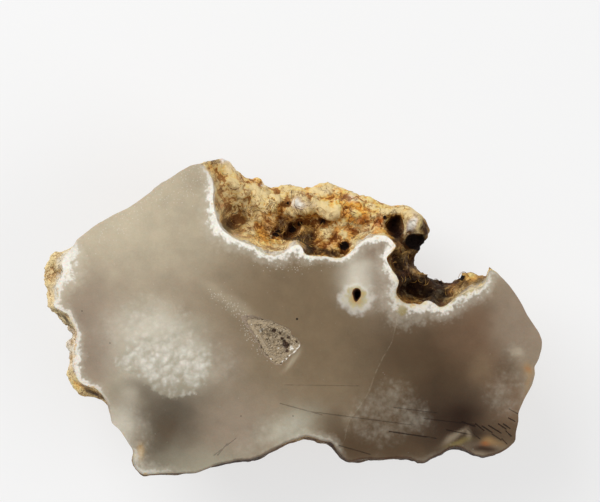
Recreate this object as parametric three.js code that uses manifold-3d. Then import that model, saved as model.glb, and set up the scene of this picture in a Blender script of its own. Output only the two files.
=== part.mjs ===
// A rough agate: half of a knobbly nodule, sawn through and left with its natural rind.
// Millimetres, +Z up. The stone lies on its rind with the sawn face level on top.
import * as THREE from "three";
import { mergeVertices } from "three/addons/utils/BufferGeometryUtils.js";
import Module from "manifold-3d";

const wasm = await Module();
wasm.setup();

// Driving dimensions
const stoneHeight = 30;       // from the surface it rests on up to the sawn face
const longestStep = 1.9;      // between neighbouring points round the outline
const brokenFlare = 0.7;      // how far a broken edge spreads out below the face
const rindFlare = 1.0;        // the same for an edge that keeps its rind
const plainDrop = 5;          // depth of the widest line where no rind shows from above
const nodeGap = 0.3;          // clearance between the stone and the crystals in its pocket

// The outline of the sawn face runs clockwise as seen from above, in named stretches.
// The rim is the edge of the face. Where rind spreads into view below the face, a skirt
// gives its widest line: each skirt point lies outward of the rim point in the same place.
// The drops are the depths of that line below the face, spread evenly along the stretch.
const upperLeftEdge = {
  rim: [
    [-43.6, 15.3], [-41.9, 16.6], [-40.0, 18.1], [-36.1, 20.4], [-33.1, 21.8], [-29.3, 24.4],
    [-25.0, 27.4], [-23.1, 28.9], [-20.6, 30.3], [-18.9, 30.6],
  ],
  flare: brokenFlare,
  drops: [plainDrop, plainDrop],
  knobs: 0.25,
};

const bigBay = {
  rim: [
    [-18.1, 30.5], [-17.6, 29.7], [-16.9, 28.6], [-16.3, 27.3], [-16.1, 25.4], [-16.2, 23.4],
    [-16.0, 21.3], [-15.4, 19.3], [-14.4, 17.4], [-12.5, 16.0], [-10.1, 14.8], [-7.9, 14.1],
    [-5.9, 12.9], [-4.0, 12.3], [-2.0, 13.0], [-0.5, 14.0], [0.8, 14.5], [1.8, 13.8],
    [2.0, 12.5], [4.4, 12.1], [7.0, 12.0], [9.3, 11.8], [10.8, 12.6], [12.6, 14.2],
    [14.4, 15.5], [16.6, 16.4], [18.5, 16.2], [19.8, 15.1],
  ],
  skirt: [
    [-17.2, 31.5], [-15.6, 32.0], [-14.0, 31.8], [-12.7, 30.9], [-11.3, 29.5], [-10.1, 28.0],
    [-8.7, 27.7], [-6.9, 27.7], [-5.7, 26.6], [-4.7, 25.3], [-2.9, 25.6], [-1.0, 26.1],
    [0.8, 26.5], [2.4, 25.9], [4.1, 26.6], [5.3, 27.1], [6.6, 27.4], [7.9, 27.1],
    [9.4, 26.4], [10.9, 25.8], [12.2, 25.3], [13.7, 24.5], [15.4, 24.1], [17.0, 23.4],
    [18.6, 22.8], [20.2, 22.9], [22.1, 22.5], [24.3, 21.7],
  ],
  drops: [5, 10, 13, 13, 13, 12, 9.5],
  knobs: 1,
};

const neck = {
  rim: [
    [20.4, 14.2], [19.9, 13.4], [19.3, 12.7], [18.6, 12.2], [18.3, 11.8], [18.6, 11.1],
    [19.1, 10.2], [19.7, 9.3], [20.7, 8.0], [21.1, 7.0],
  ],
  skirt: [
    [26.4, 20.3], [27.8, 17.3], [27.2, 15.2], [26.2, 14.1], [24.7, 13.1], [23.3, 12.7],
    [22.6, 12.0], [22.8, 11.0], [23.4, 9.7], [24.5, 8.8],
  ],
  drops: [9, 7.5, 8.5],
  knobs: 1,
};

const smallBay = {
  rim: [
    [20.6, 5.7], [20.2, 4.6], [21.0, 3.5], [22.2, 2.6], [24.2, 2.7], [25.2, 2.3],
    [26.1, 3.2], [27.1, 3.3], [28.1, 2.7], [29.0, 1.8], [30.4, 2.2], [31.5, 3.1],
    [33.0, 4.1], [34.8, 5.3], [36.6, 5.7], [38.0, 6.2], [38.6, 7.5], [38.8, 8.9],
  ],
  skirt: [
    [25.7, 8.6], [26.8, 8.2], [27.7, 7.3], [28.6, 6.6], [29.6, 6.2], [30.7, 6.1],
    [31.2, 6.1], [31.9, 6.2], [32.4, 6.4], [33.1, 6.8], [33.5, 7.3], [34.2, 7.9],
    [35.3, 8.5], [36.6, 8.6], [37.4, 7.9], [38.0, 7.7], [38.6, 8.2], [38.9, 9.1],
  ],
  drops: [8.5, 8.5, 8, 6, 4],
  knobs: 1,
};

const rightEdge = {
  rim: [
    [39.3, 9.6], [40.5, 8.9], [42.9, 6.4], [44.5, 4.2], [45.6, 2.4], [46.5, 0.5],
    [49.0, -3.2], [49.6, -4.8], [49.5, -6.3], [48.9, -8.5], [47.9, -10.0], [48.2, -11.3],
    [47.6, -13.6], [46.1, -16.2], [44.8, -19.2], [44.9, -20.6], [44.3, -23.3], [44.3, -24.8],
  ],
  flare: brokenFlare,
  drops: [4, plainDrop],
  knobs: 0.3,
};

const bottomEdge = {
  rim: [
    [42.7, -26.2], [41.1, -27.2], [37.8, -27.9], [36.4, -27.6], [33.2, -25.9], [31.5, -25.9],
    [29.4, -27.3], [27.1, -28.3], [26.1, -29.1], [25.1, -29.0], [23.2, -28.2], [20.5, -28.1],
    [17.4, -28.4], [14.6, -28.2], [11.1, -28.9], [10.4, -28.6], [8.5, -26.3], [7.6, -24.9],
    [5.5, -24.7], [4.1, -24.1], [2.4, -23.7], [-0.8, -24.8], [-2.9, -25.7], [-6.7, -27.8],
    [-9.0, -28.4], [-11.1, -28.5], [-15.1, -29.4], [-19.8, -31.2], [-26.7, -31.2], [-30.3, -31.5],
    [-31.7, -30.3], [-32.3, -28.7],
  ],
  flare: rindFlare,
  drops: [plainDrop, plainDrop],
  knobs: 0.7,
};

const lowerLeftEdge = {
  rim: [
    [-32.0, -26.8], [-34.9, -22.5], [-36.4, -21.2], [-36.6, -19.9], [-37.0, -18.5],
  ],
  flare: brokenFlare,
  drops: [plainDrop, plainDrop],
  knobs: 0.6,
};

const lowerLobe = {
  rim: [
    [-37.3, -17.5], [-37.9, -16.2], [-38.5, -15.2], [-39.5, -14.2], [-40.9, -13.9], [-42.1, -13.4],
    [-42.9, -12.9], [-43.4, -12.1], [-43.9, -10.1], [-44.1, -9.1], [-43.6, -8.1], [-43.4, -7.3],
    [-44.0, -6.5], [-43.3, -4.2], [-43.2, -3.1],
  ],
  skirt: [
    [-38.0, -17.6], [-38.4, -16.7], [-39.2, -16.6], [-40.3, -16.4], [-41.6, -16.1], [-42.8, -16.2],
    [-43.5, -16.1], [-44.5, -15.2], [-45.7, -12.3], [-45.5, -10.8], [-45.2, -9.2], [-45.1, -7.8],
    [-45.1, -6.5], [-44.6, -4.2], [-44.2, -3.2],
  ],
  drops: [plainDrop, plainDrop, 4],
  knobs: 1,
};

const upperLobe = {
  rim: [
    [-43.6, -2.2], [-44.7, -0.7], [-44.9, 0.5], [-46.4, 1.3], [-47.8, 1.9], [-48.1, 2.5],
    [-47.9, 3.2], [-47.2, 3.6], [-47.4, 5.3], [-47.7, 6.3], [-47.1, 7.4], [-46.4, 8.0],
    [-45.8, 9.3], [-46.2, 10.8], [-45.8, 12.2], [-45.1, 13.1], [-44.4, 13.8], [-43.8, 14.6],
  ],
  skirt: [
    [-44.4, -2.4], [-45.6, -1.2], [-46.9, -0.2], [-48.2, 0.8], [-49.0, 1.4], [-49.0, 2.0],
    [-49.0, 2.8], [-49.0, 3.8], [-49.3, 5.2], [-49.7, 6.4], [-50.5, 7.7], [-50.7, 8.9],
    [-50.5, 10.2], [-49.6, 11.7], [-48.6, 12.6], [-47.2, 12.9], [-45.6, 13.6], [-44.5, 14.8],
  ],
  drops: [4, 4, 6.5, plainDrop],
  knobs: 1,
};

const stretches = [
  upperLeftEdge, bigBay, neck, smallBay, rightEdge, bottomEdge, lowerLeftEdge, lowerLobe, upperLobe,
];

// Lumps and hollows of the rind that shows in the two bays: centre, radius and rise.
const bayForms = [
  { name: "brown hollow by the west rim", at: [-13.0, 18.8], radius: 3.8, rise: -3.2 },
  { name: "western tongue", at: [-12.4, 26.2], radius: 4.0, rise: 1.8 },
  { name: "middle ridge", at: [-6.5, 21.5], radius: 3.6, rise: 1.6 },
  { name: "cream boss", at: [2.0, 22.9], radius: 3.6, rise: 2.4 },
  { name: "pale boss", at: [7.6, 21.4], radius: 2.8, rise: 1.9 },
  { name: "thatched valley", at: [0.4, 17.0], radius: 5.2, rise: -3.0 },
  { name: "lower ochre boss", at: [6.3, 16.2], radius: 2.4, rise: 1.6 },
  { name: "undercut at the south rim", at: [6.2, 13.0], radius: 3.2, rise: -2.6 },
  { name: "black pit", at: [10.2, 14.2], radius: 1.6, rise: -2.4 },
  { name: "ochre saddle", at: [12.0, 20.2], radius: 3.4, rise: 1.8 },
  { name: "rusty boss", at: [16.9, 19.6], radius: 2.8, rise: 1.4 },
  { name: "black cleft", at: [20.5, 18.4], radius: 2.6, rise: -3.0 },
  { name: "cream knob", at: [24.4, 19.4], radius: 3.4, rise: 3.0 },
  { name: "black shadowed foot of the knob", at: [24.4, 15.0], radius: 2.6, rise: -2.6 },
  { name: "floor of the small bay", at: [24.6, 5.2], radius: 3.6, rise: -2.4 },
  { name: "spongy lump", at: [35.1, 7.2], radius: 1.8, rise: 1.4 },
];

// How the level falls from the rim (0) to the skirt (1) across a broad shelf of rind:
// steeply at the rim, then nearly level, then over a rounded outer edge.
const shelfFall = [[0, 0], [0.14, 0.55], [0.3, 0.8], [0.48, 0.84], [0.68, 0.76], [0.86, 0.82], [1, 1]];
const narrowShelf = 1.5;      // a shelf this narrow is a plain wall
const broadShelf = 5;         // a shelf this broad has the full profile
const formsFromRim = 0.2;     // the forms of the bays reach full height this share of the way out
const formsFromSkirt = 0.1;   // and this share of the way in from the skirt

// Rings of the belly, from the skirt (0) down to the keel (1): how often the outline is
// relaxed by then, so that its small corners fade, and how many stations share one point.
const bellyRings = [
  { down: 0.03, relaxed: 3, every: 1 },
  { down: 0.08, relaxed: 10, every: 1 },
  { down: 0.15, relaxed: 20, every: 1 },
  { down: 0.24, relaxed: 30, every: 1 },
  { down: 0.34, relaxed: 40, every: 2 },
  { down: 0.44, relaxed: 50, every: 2 },
  { down: 0.54, relaxed: 60, every: 2 },
  { down: 0.64, relaxed: 60, every: 2 },
  { down: 0.74, relaxed: 60, every: 2 },
  { down: 0.84, relaxed: 60, every: 4 },
  { down: 0.93, relaxed: 60, every: 4 },
];
const overhang = 0.5;         // how far a relaxed ring may stand out past the traced outline
const evenRounds = 6;         // it is evened out this often after that
const keelStart = new THREE.Vector2(-23, -4);
const keelEnd = new THREE.Vector2(22, -10);
const keelParts = 7;          // the belly closes on this many equal parts of the keel
const keelEvery = 4;          // stations that share one point there
const fullness = 3;           // 2 gives an elliptical belly, more gives a fuller one
const bellyFloor = 0.8;

// The rind is a mass of touching rounded knobs. Creases between them are cut into the
// belly, so that the crowns keep the traced outline.
const knobSizes = [
  { size: 18, crease: 3.2, seed: 4 },
  { size: 9, crease: 1.2, seed: 9 },
];
const creaseReach = 0.7;      // share of a knob's size from its crown to the deepest crease
const creaseStart = 0.3;      // creases are fully cut this share of the way down to the keel
const wallKnobs = [0.2, 0.5]; // above the first share each stretch has its own amount of knobs

// Three knobs carry the stone. They are worn flat where they touch the surface.
const feet = [[-22, -9], [20, -12], [-1, 6]];
const footRadius = 15;        // of the ball that the underside of a foot follows
const footReach = 13;         // how far from its middle a foot still shapes the belly
const footFade = 8;           // from here outward it does so less and less
const footWear = 0.3;
const groundSize = 200;       // block that the stone's underside is trimmed by

// The crystal pocket and the small tube hole that open in the face.
const pocketMouth = [
  [-10.4, 0.5], [-7.4, 0.2], [-4.5, -0.7], [-0.9, -2.5], [1.2, -5.0], [1.4, -5.9],
  [-2.7, -9.7], [-4.0, -9.3], [-6.3, -7.5], [-7.7, -4.7], [-9.2, -2.4], [-10.8, 0.0],
];
const pocketDeepest = new THREE.Vector2(-2.2, -5.4);
const pocketDepth = 3.2;
const tubeMouth = [
  [12.9, 5.5], [13.3, 4.7], [13.2, 3.9], [12.7, 3.2], [12.3, 2.9], [12.0, 3.5], [11.9, 4.4], [12.3, 5.2],
];
const tubeDeepest = new THREE.Vector2(12.6, 4.2);
const tubeDepth = 6;
const hollowTaper = [[0.3, 0.9], [0.62, 0.66], [0.88, 0.36], [1, 0.12]];  // share of depth, of width
const cutterRise = 1;         // cutters stand this far above the face

// Druse: small quartz points on the wall of the pocket.
const crustThickness = 0.8;
const crustSpread = 0.86;     // how much of the pocket's outline the crust fills
const crystalSides = 6;
const crystalProfile = [[1, 0.05], [0.55, 1], [-0.5, 1]];   // share of the length, of the radius
const crystalRadius = 0.62;
const crystalLength = 1.5;
const crystalSpacing = 1.15;
const crystalLean = 0.5;
const crystalAim = new THREE.Vector3(-3.7, -3.9, stoneHeight + 4);  // the points lean towards it
const crystalSeed = 5;

const stoneColour = 0xa89c85;
const crystalColour = 0xcfc4ad;

const up = new THREE.Vector3(0, 0, 1);
const mix = (a, b, t) => a + (b - a) * t;
const clamp = (value, low, high) => Math.min(high, Math.max(low, value));
const toPoints = (outline) => outline.map(([x, y]) => new THREE.Vector2(x, y));

function smoothStep(low, high, value) {
  const t = clamp((value - low) / (high - low), 0, 1);
  return t * t * (3 - 2 * t);
}

// A table of [place, value] pairs, read with straight lines between them.
function readProfile(profile, place) {
  for (let i = 1; i < profile.length; i++) {
    const [x0, y0] = profile[i - 1];
    const [x1, y1] = profile[i];
    if (place <= x1) return mix(y0, y1, (place - x0) / (x1 - x0));
  }
  return profile[profile.length - 1][1];
}

// Evenly spaced values, read in the same way at a place from 0 to 1.
function readEven(values, place) {
  return readProfile(values.map((value, i) => [i / (values.length - 1), value]), place);
}

// A repeatable pseudo-random number from 0 to 1 for the nth thing of a kind.
function chance(nth, kind, seed) {
  const wave = Math.sin(nth * 127.1 + kind * 311.7 + seed * 74.7) * 43758.5453;
  return wave - Math.floor(wave);
}

// The same as a factor that varies about 1 by a share either way.
function varied(share, nth, kind, seed) {
  return 1 + share * (2 * chance(nth, kind, seed) - 1);
}

// How deep a point lies in the creases of a mass of touching knobs: 0 on a crown.
function creaseDepth(point, { size, crease, seed }) {
  const cell = point.clone().divideScalar(size).floor();
  let nearest = Infinity;
  for (let step = 0; step < 27; step++) {
    const x = cell.x + (step % 3) - 1;
    const y = cell.y + (Math.floor(step / 3) % 3) - 1;
    const z = cell.z + Math.floor(step / 9) - 1;
    const nth = x + 57 * y + 113 * z;
    const crown = new THREE.Vector3(
      x + chance(nth, 1, seed), y + chance(nth, 2, seed), z + chance(nth, 3, seed),
    );
    nearest = Math.min(nearest, crown.multiplyScalar(size).distanceTo(point));
  }
  return crease * Math.min(1, (nearest / (creaseReach * size)) ** 2);
}

// Outward direction of a clockwise outline at one of its points.
function outwardAt(points, i) {
  const before = points[(i + points.length - 1) % points.length];
  const after = points[(i + 1) % points.length];
  return new THREE.Vector2(before.y - after.y, after.x - before.x).normalize();
}

// One station of the outline holds a rim point, its skirt point and how knobbly the edge is.
function layStations() {
  const rims = stretches.flatMap(({ rim }) => toPoints(rim));
  const stations = [];
  for (const stretch of stretches) {
    for (let i = 0; i < stretch.rim.length; i++) {
      const rim = rims[stations.length];
      const plan = stretch.skirt
        ? new THREE.Vector2(...stretch.skirt[i])
        : outwardAt(rims, stations.length).multiplyScalar(stretch.flare).add(rim);
      const drop = readEven(stretch.drops, i / (stretch.rim.length - 1));
      const skirt = new THREE.Vector3(plan.x, plan.y, stoneHeight - drop);
      stations.push({ rim, skirt, knobs: stretch.knobs });
    }
  }
  return stations;
}

// Stations are added where two neighbours lie more than the longest step apart.
function fillStations(stations) {
  const filled = [];
  stations.forEach((from, i) => {
    const to = stations[(i + 1) % stations.length];
    const length = Math.max(from.rim.distanceTo(to.rim), from.skirt.distanceTo(to.skirt));
    const steps = Math.ceil(length / longestStep);
    for (let k = 0; k < steps; k++) {
      filled.push({
        rim: from.rim.clone().lerp(to.rim, k / steps),
        skirt: from.skirt.clone().lerp(to.skirt, k / steps),
        knobs: mix(from.knobs, to.knobs, k / steps),
      });
    }
  });
  return filled;
}

// Each point of a closed line moves to the mean of itself and its neighbours, again and again.
function relax(line, rounds) {
  let relaxed = line;
  for (let round = 0; round < rounds; round++) {
    const last = relaxed;
    relaxed = last.map((point, i) => {
      const before = last[(i + last.length - 1) % last.length];
      const after = last[(i + 1) % last.length];
      return point.clone().add(before).add(after).divideScalar(3);
    });
  }
  return relaxed;
}

// The relaxed outline, held back where it would stand out past the traced one.
function relaxInside(skirt, rounds) {
  const heldBack = relax(skirt, rounds).map((point, i) => {
    const outward = outwardAt(skirt, i);
    const proud = (point.x - skirt[i].x) * outward.x + (point.y - skirt[i].y) * outward.y;
    const back = Math.max(0, proud - overhang);
    return new THREE.Vector3(point.x - back * outward.x, point.y - back * outward.y, point.z);
  });
  return relax(heldBack, Math.min(rounds, evenRounds));
}

// Rise of the named forms of the bays at a place in plan.
function bayRise(x, y) {
  let rise = 0;
  for (const form of bayForms) {
    const distance = Math.hypot(x - form.at[0], y - form.at[1]) / form.radius;
    rise += form.rise * Math.max(0, 1 - distance * distance) ** 1.5;
  }
  return rise;
}

// A point between the rim (0) and the skirt (1). A narrow wall bows outward, and a broad
// shelf follows the profile and carries the forms of the bays.
function shelfPoint({ rim, skirt }, t) {
  const skirtPlan = new THREE.Vector2(skirt.x, skirt.y);
  const breadth = smoothStep(narrowShelf, broadShelf, rim.distanceTo(skirtPlan));
  const plan = rim.clone().lerp(skirtPlan, mix(Math.sin((t * Math.PI) / 2), t, breadth));
  const fall = mix(t, readProfile(shelfFall, t), breadth);
  const inside = smoothStep(0, formsFromRim, t) * smoothStep(0, formsFromSkirt, 1 - t);
  const rise = bayRise(plan.x, plan.y) * breadth * inside;
  const z = mix(stoneHeight, skirt.z, fall) + rise;
  return new THREE.Vector3(plan.x, plan.y, Math.min(z, stoneHeight - t));
}

// How far along the keel each station is drawn in to: from its start at the leftmost
// station to its end at the rightmost one, and back again on the other side.
function keelPlaces(stations) {
  const across = stations.map(({ skirt }) => skirt.x);
  const leftmost = across.indexOf(Math.min(...across));
  const rightmost = across.indexOf(Math.max(...across));
  const round = stations.length;
  const there = (rightmost - leftmost + round) % round;
  return stations.map((unused, place) => {
    const gone = (place - leftmost + round) % round;
    return gone <= there ? gone / there : (round - gone) / (round - there);
  });
}

// A point of the belly below a point of the skirt, from 0 there to 1 at the keel.
function bellyPoint(skirt, along, down) {
  const keel = keelStart.clone().lerp(keelEnd, along);
  const angle = (down * Math.PI) / 2;
  const inward = 1 - Math.cos(angle) ** (2 / fullness);
  const lowered = Math.sin(angle) ** (2 / fullness);
  const plan = new THREE.Vector2(skirt.x, skirt.y).lerp(keel, inward);
  return new THREE.Vector3(plan.x, plan.y, mix(skirt.z, bellyFloor, lowered));
}

// Triangles between two rings that go round together, each point with its place round.
function stitchRings(upper, lower, round) {
  const triangles = [];
  const placeOf = (ring, i) => ring[i % ring.length].place + (i >= ring.length ? round : 0);
  let i = 0;
  let j = 0;
  while (i < upper.length || j < lower.length) {
    const a = upper[i % upper.length].index;
    const b = lower[j % lower.length].index;
    const stepsUpper = j >= lower.length || placeOf(upper, i + 1) <= placeOf(lower, j + 1);
    if (i < upper.length && stepsUpper) {
      i += 1;
      triangles.push([a, upper[i % upper.length].index, b]);
    } else {
      j += 1;
      triangles.push([a, lower[j % lower.length].index, b]);
    }
  }
  return triangles;
}

// Triangles that close a ring, facing up (1) or down (-1).
function capRing(ring, points, facing) {
  const flat = ring.map(({ index }) => new THREE.Vector2(points[index].x, points[index].y));
  return THREE.ShapeUtils.triangulateShape(flat, []).map(([a, b, c]) => {
    const turn = flat[b].clone().sub(flat[a]).cross(flat[c].clone().sub(flat[a]));
    const triangle = [ring[a].index, ring[b].index, ring[c].index];
    return turn * facing > 0 ? triangle : triangle.reverse();
  });
}

// A closed mesh from rings of points, listed from the top down. Where the last ring runs
// there and back along one line, it closes the mesh by itself.
function loft(rings, round, endsOnLine = false) {
  const points = rings.flat().map(({ at }) => at);
  const creased = rings.flat().map((point) => point.creased ?? 0);
  let count = 0;
  const indexed = rings.map((ring) => ring.map(({ place }) => ({ index: count++, place })));
  const triangles = capRing(indexed[0], points, 1);
  for (let k = 1; k < indexed.length; k++) {
    triangles.push(...stitchRings(indexed[k - 1], indexed[k], round));
  }
  if (!endsOnLine) triangles.push(...capRing(indexed[indexed.length - 1], points, -1));
  const geometry = new THREE.BufferGeometry();
  const numbers = points.flatMap((point) => point.toArray());
  geometry.setAttribute("position", new THREE.Float32BufferAttribute(numbers, 3));
  geometry.setAttribute("creased", new THREE.Float32BufferAttribute(creased, 1));
  geometry.setIndex(triangles.flat());
  return withoutDoubles(geometry);
}

// Points in one place become one, and the triangles that this flattens go.
function withoutDoubles(geometry) {
  const bare = geometry.clone();
  bare.deleteAttribute("normal");
  bare.deleteAttribute("uv");
  const merged = mergeVertices(bare);
  const kept = [];
  for (let i = 0; i < merged.index.count; i += 3) {
    const [a, b, c] = [0, 1, 2].map((corner) => merged.index.getX(i + corner));
    if (a !== b && b !== c && c !== a) kept.push(a, b, c);
  }
  merged.setIndex(kept);
  return merged;
}

function solidOf(geometry) {
  const merged = withoutDoubles(geometry);
  return new wasm.Manifold(new wasm.Mesh({
    numProp: 3,
    vertProperties: new Float32Array(merged.attributes.position.array),
    triVerts: new Uint32Array(merged.index.array),
  }));
}

function geometryFrom(solid) {
  const mesh = solid.getMesh();
  const geometry = new THREE.BufferGeometry();
  geometry.setAttribute("position", new THREE.BufferAttribute(new Float32Array(mesh.vertProperties), 3));
  geometry.setIndex(new THREE.BufferAttribute(new Uint32Array(mesh.triVerts), 1));
  return geometry;
}

// The smooth rings of the stone: sawn face, shelves of the bays, walls and belly.
function layRings(stations) {
  const rings = shelfFall.map(([t]) => stations.map((station, place) => ({
    at: shelfPoint(station, t),
    place,
  })));
  const skirt = stations.map((station) => station.skirt);
  const along = keelPlaces(stations);
  for (const { down, relaxed, every } of bellyRings) {
    const isBelly = smoothStep(...wallKnobs, down);
    const ring = relaxInside(skirt, relaxed).map((point, place) => ({
      at: bellyPoint(point, along[place], down),
      place,
      creased: smoothStep(0, creaseStart, down) * mix(stations[place].knobs, 1, isBelly),
    }));
    rings.push(ring.filter(({ place }) => place % every === 0));
  }
  const keel = along.map((share, place) => ({
    at: bellyPoint(skirt[place], Math.round(share * keelParts) / keelParts, 1),
    place,
    creased: 1,
  }));
  rings.push(keel.filter(({ place }) => place % keelEvery === 0));
  return rings;
}

// The height of a point of the belly once the rounded feet have drawn it down.
function drawnToFeet(point) {
  let height = point.z;
  if (height > stoneHeight / 2) return height;
  for (const [x, y] of feet) {
    const distance = Math.hypot(point.x - x, point.y - y);
    if (distance >= footReach) continue;
    const ball = footRadius - Math.sqrt(footRadius ** 2 - distance ** 2) - footWear;
    height = mix(Math.min(height, ball), height, smoothStep(footFade, footReach, distance));
  }
  return height;
}

// The whole stone before its pocket is cut: creases between the knobs, and the feet.
function buildBody() {
  const stations = fillStations(layStations());
  const geometry = loft(layRings(stations), stations.length, true);
  geometry.computeVertexNormals();
  const { position, normal, creased } = geometry.attributes;
  const point = new THREE.Vector3();
  const outward = new THREE.Vector3();
  for (let i = 0; i < position.count; i++) {
    point.fromBufferAttribute(position, i);
    outward.fromBufferAttribute(normal, i);
    const depth = knobSizes.reduce((sum, knob) => sum + creaseDepth(point, knob), 0);
    point.addScaledVector(outward, -depth * creased.getX(i));
    position.setXYZ(i, point.x, point.y, drawnToFeet(point));
  }
  return solidOf(geometry);
}

// What lies below the surface that the stone rests on, to wear the feet level.
function buildGround() {
  const block = new THREE.BoxGeometry(groundSize, groundSize, stoneHeight);
  return solidOf(block.translate(0, 0, -stoneHeight / 2));
}

// A closed form that narrows downward from an outline to its deepest point. It keeps the full
// outline from its top, a height above or below the face, down to the face or to that top.
function hollowForm(mouth, deepest, depth, top) {
  const tapered = hollowTaper.map(([down, keep]) => [-down * depth, keep]);
  const levels = [[top, 1], ...(top > 0 ? [[0, 1]] : []), ...tapered];
  const rings = levels.map(([level, keep]) => drawIn(mouth, deepest, keep).map(({ x, y }, place) => ({
    at: new THREE.Vector3(x, y, stoneHeight + level),
    place,
  })));
  return solidOf(loft(rings, mouth.length));
}

// An outline drawn in towards a point.
function drawIn(outline, towards, keep) {
  return outline.map((corner) => towards.clone().lerp(corner, keep));
}

function isInside(spot, outline) {
  let inside = false;
  outline.forEach((a, i) => {
    const b = outline[(i + 1) % outline.length];
    const crosses = a.y > spot.y !== b.y > spot.y;
    if (crosses && spot.x < a.x + ((spot.y - a.y) / (b.y - a.y)) * (b.x - a.x)) inside = !inside;
  });
  return inside;
}

// One quartz point: a six-sided prism under a six-sided pyramid, rooted below its origin.
function quartzPoint(radius, length) {
  const rings = crystalProfile.map(([height, keep]) => {
    const corners = Array.from({ length: crystalSides }, (unused, place) => {
      const angle = (-place * 2 * Math.PI) / crystalSides;
      return { at: new THREE.Vector3(Math.cos(angle), Math.sin(angle), 0), place };
    });
    corners.forEach(({ at }) => at.multiplyScalar(radius * keep).setZ(height * length));
    return corners;
  });
  return loft(rings, crystalSides);
}

// Spots for the crystals: a loose grid over the mouth of the pocket.
function crystalSpots(mouth) {
  const box = new THREE.Box2().setFromPoints(mouth);
  const spots = [];
  let nth = 0;
  for (let x = box.min.x; x < box.max.x; x += crystalSpacing) {
    for (let y = box.min.y; y < box.max.y; y += crystalSpacing) {
      nth += 1;
      const aside = crystalSpacing * (chance(nth, 1, crystalSeed) - 0.5);
      const along = crystalSpacing * (chance(nth, 2, crystalSeed) - 0.5);
      const spot = new THREE.Vector2(x + aside, y + along);
      if (isInside(spot, mouth)) spots.push(spot);
    }
  }
  return spots;
}

// The druse: a thin crust on the wall of the pocket with quartz points grown together on it.
function buildDruse() {
  const mouth = drawIn(toPoints(pocketMouth), pocketDeepest, crustSpread);
  const crustDepth = pocketDepth - 1.5 * nodeGap;
  const pocketRoom = hollowForm(mouth, pocketDeepest, crustDepth, -nodeGap);
  const openMouth = drawIn(mouth, pocketDeepest, crustSpread);
  const openRoom = hollowForm(openMouth, pocketDeepest, crustDepth - crustThickness, cutterRise);
  const farthest = Math.max(...mouth.map((corner) => corner.distanceTo(pocketDeepest)));
  let druse = pocketRoom.subtract(openRoom);
  crystalSpots(mouth).forEach((spot, nth) => {
    const reach = spot.distanceTo(pocketDeepest) / farthest;
    const root = new THREE.Vector3(spot.x, spot.y, stoneHeight - crustDepth * (1 - reach * reach));
    const leaning = crystalAim.clone().sub(root).normalize();
    leaning.x += crystalLean * (chance(nth, 3, crystalSeed) - 0.5);
    leaning.y += crystalLean * (chance(nth, 4, crystalSeed) - 0.5);
    const size = varied(0.3, nth, 5, crystalSeed);
    const crystal = quartzPoint(crystalRadius * size, crystalLength * size);
    crystal.applyQuaternion(new THREE.Quaternion().setFromUnitVectors(up, leaning.normalize()));
    druse = druse.add(solidOf(crystal.translate(root.x, root.y, root.z)));
  });
  return geometryFrom(druse.intersect(pocketRoom));
}

function buildStone() {
  const pocket = hollowForm(toPoints(pocketMouth), pocketDeepest, pocketDepth, cutterRise);
  const tube = hollowForm(toPoints(tubeMouth), tubeDeepest, tubeDepth, cutterRise);
  return geometryFrom(buildBody().subtract(buildGround()).subtract(pocket).subtract(tube));
}

function makePiece(name, geometry, colour, roughness) {
  const faceted = geometry.toNonIndexed();
  faceted.computeVertexNormals();
  const material = new THREE.MeshStandardMaterial({ color: colour, roughness, metalness: 0 });
  const mesh = new THREE.Mesh(faceted, material);
  mesh.name = name;
  return mesh;
}

const stone = makePiece("agate_stone", buildStone(), stoneColour, 0.45);
const druse = makePiece("quartz_druse", buildDruse(), crystalColour, 0.2);

// The origin goes to the middle of the stone's box, on the surface that it rests on.
const agate = new THREE.Group();
agate.add(stone, druse);
const box = new THREE.Box3().setFromObject(stone);
agate.position.set(-(box.min.x + box.max.x) / 2, -(box.min.y + box.max.y) / 2, -box.min.z);

export default agate;
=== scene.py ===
# %% [markdown]
# # A rough agate, sawn in half
#
# The stone is half of a knobbly agate nodule. A saw has left one flat, softly glossy face of grey-brown
# chalcedony with milky clouds in it. Everywhere else the stone still wears its natural rind of ochre, cream
# and dark brown lumps, or shows where a piece broke away. This lesson builds the finished surface around the
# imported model, which stays as it is: every size below is in millimetres or read from that model.

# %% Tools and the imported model
import math
import random

import bmesh
import bpy
import numpy as np
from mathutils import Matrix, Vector, geometry, kdtree, noise


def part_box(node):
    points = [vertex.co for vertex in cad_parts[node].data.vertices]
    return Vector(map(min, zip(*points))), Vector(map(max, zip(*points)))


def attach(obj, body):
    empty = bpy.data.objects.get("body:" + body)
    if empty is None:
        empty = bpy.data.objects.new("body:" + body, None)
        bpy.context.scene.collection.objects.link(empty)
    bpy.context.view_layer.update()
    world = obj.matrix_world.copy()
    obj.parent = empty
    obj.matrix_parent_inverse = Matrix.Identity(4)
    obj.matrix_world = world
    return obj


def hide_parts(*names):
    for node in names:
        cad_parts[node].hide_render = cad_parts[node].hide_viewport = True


MM = 0.001
noise.seed_set(4)  # without a seed of its own, Blender's soft noise is another one in each run
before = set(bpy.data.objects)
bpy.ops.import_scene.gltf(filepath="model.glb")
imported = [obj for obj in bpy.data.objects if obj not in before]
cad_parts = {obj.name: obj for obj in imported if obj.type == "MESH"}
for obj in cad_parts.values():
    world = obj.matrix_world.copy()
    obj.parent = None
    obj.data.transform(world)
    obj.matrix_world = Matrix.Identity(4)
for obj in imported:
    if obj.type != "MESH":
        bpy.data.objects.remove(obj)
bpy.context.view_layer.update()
stone_low, stone_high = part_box("agate_stone")
face_level = stone_high.z
print("stone", [round(side / MM, 1) for side in stone_high - stone_low], "mm")

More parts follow.
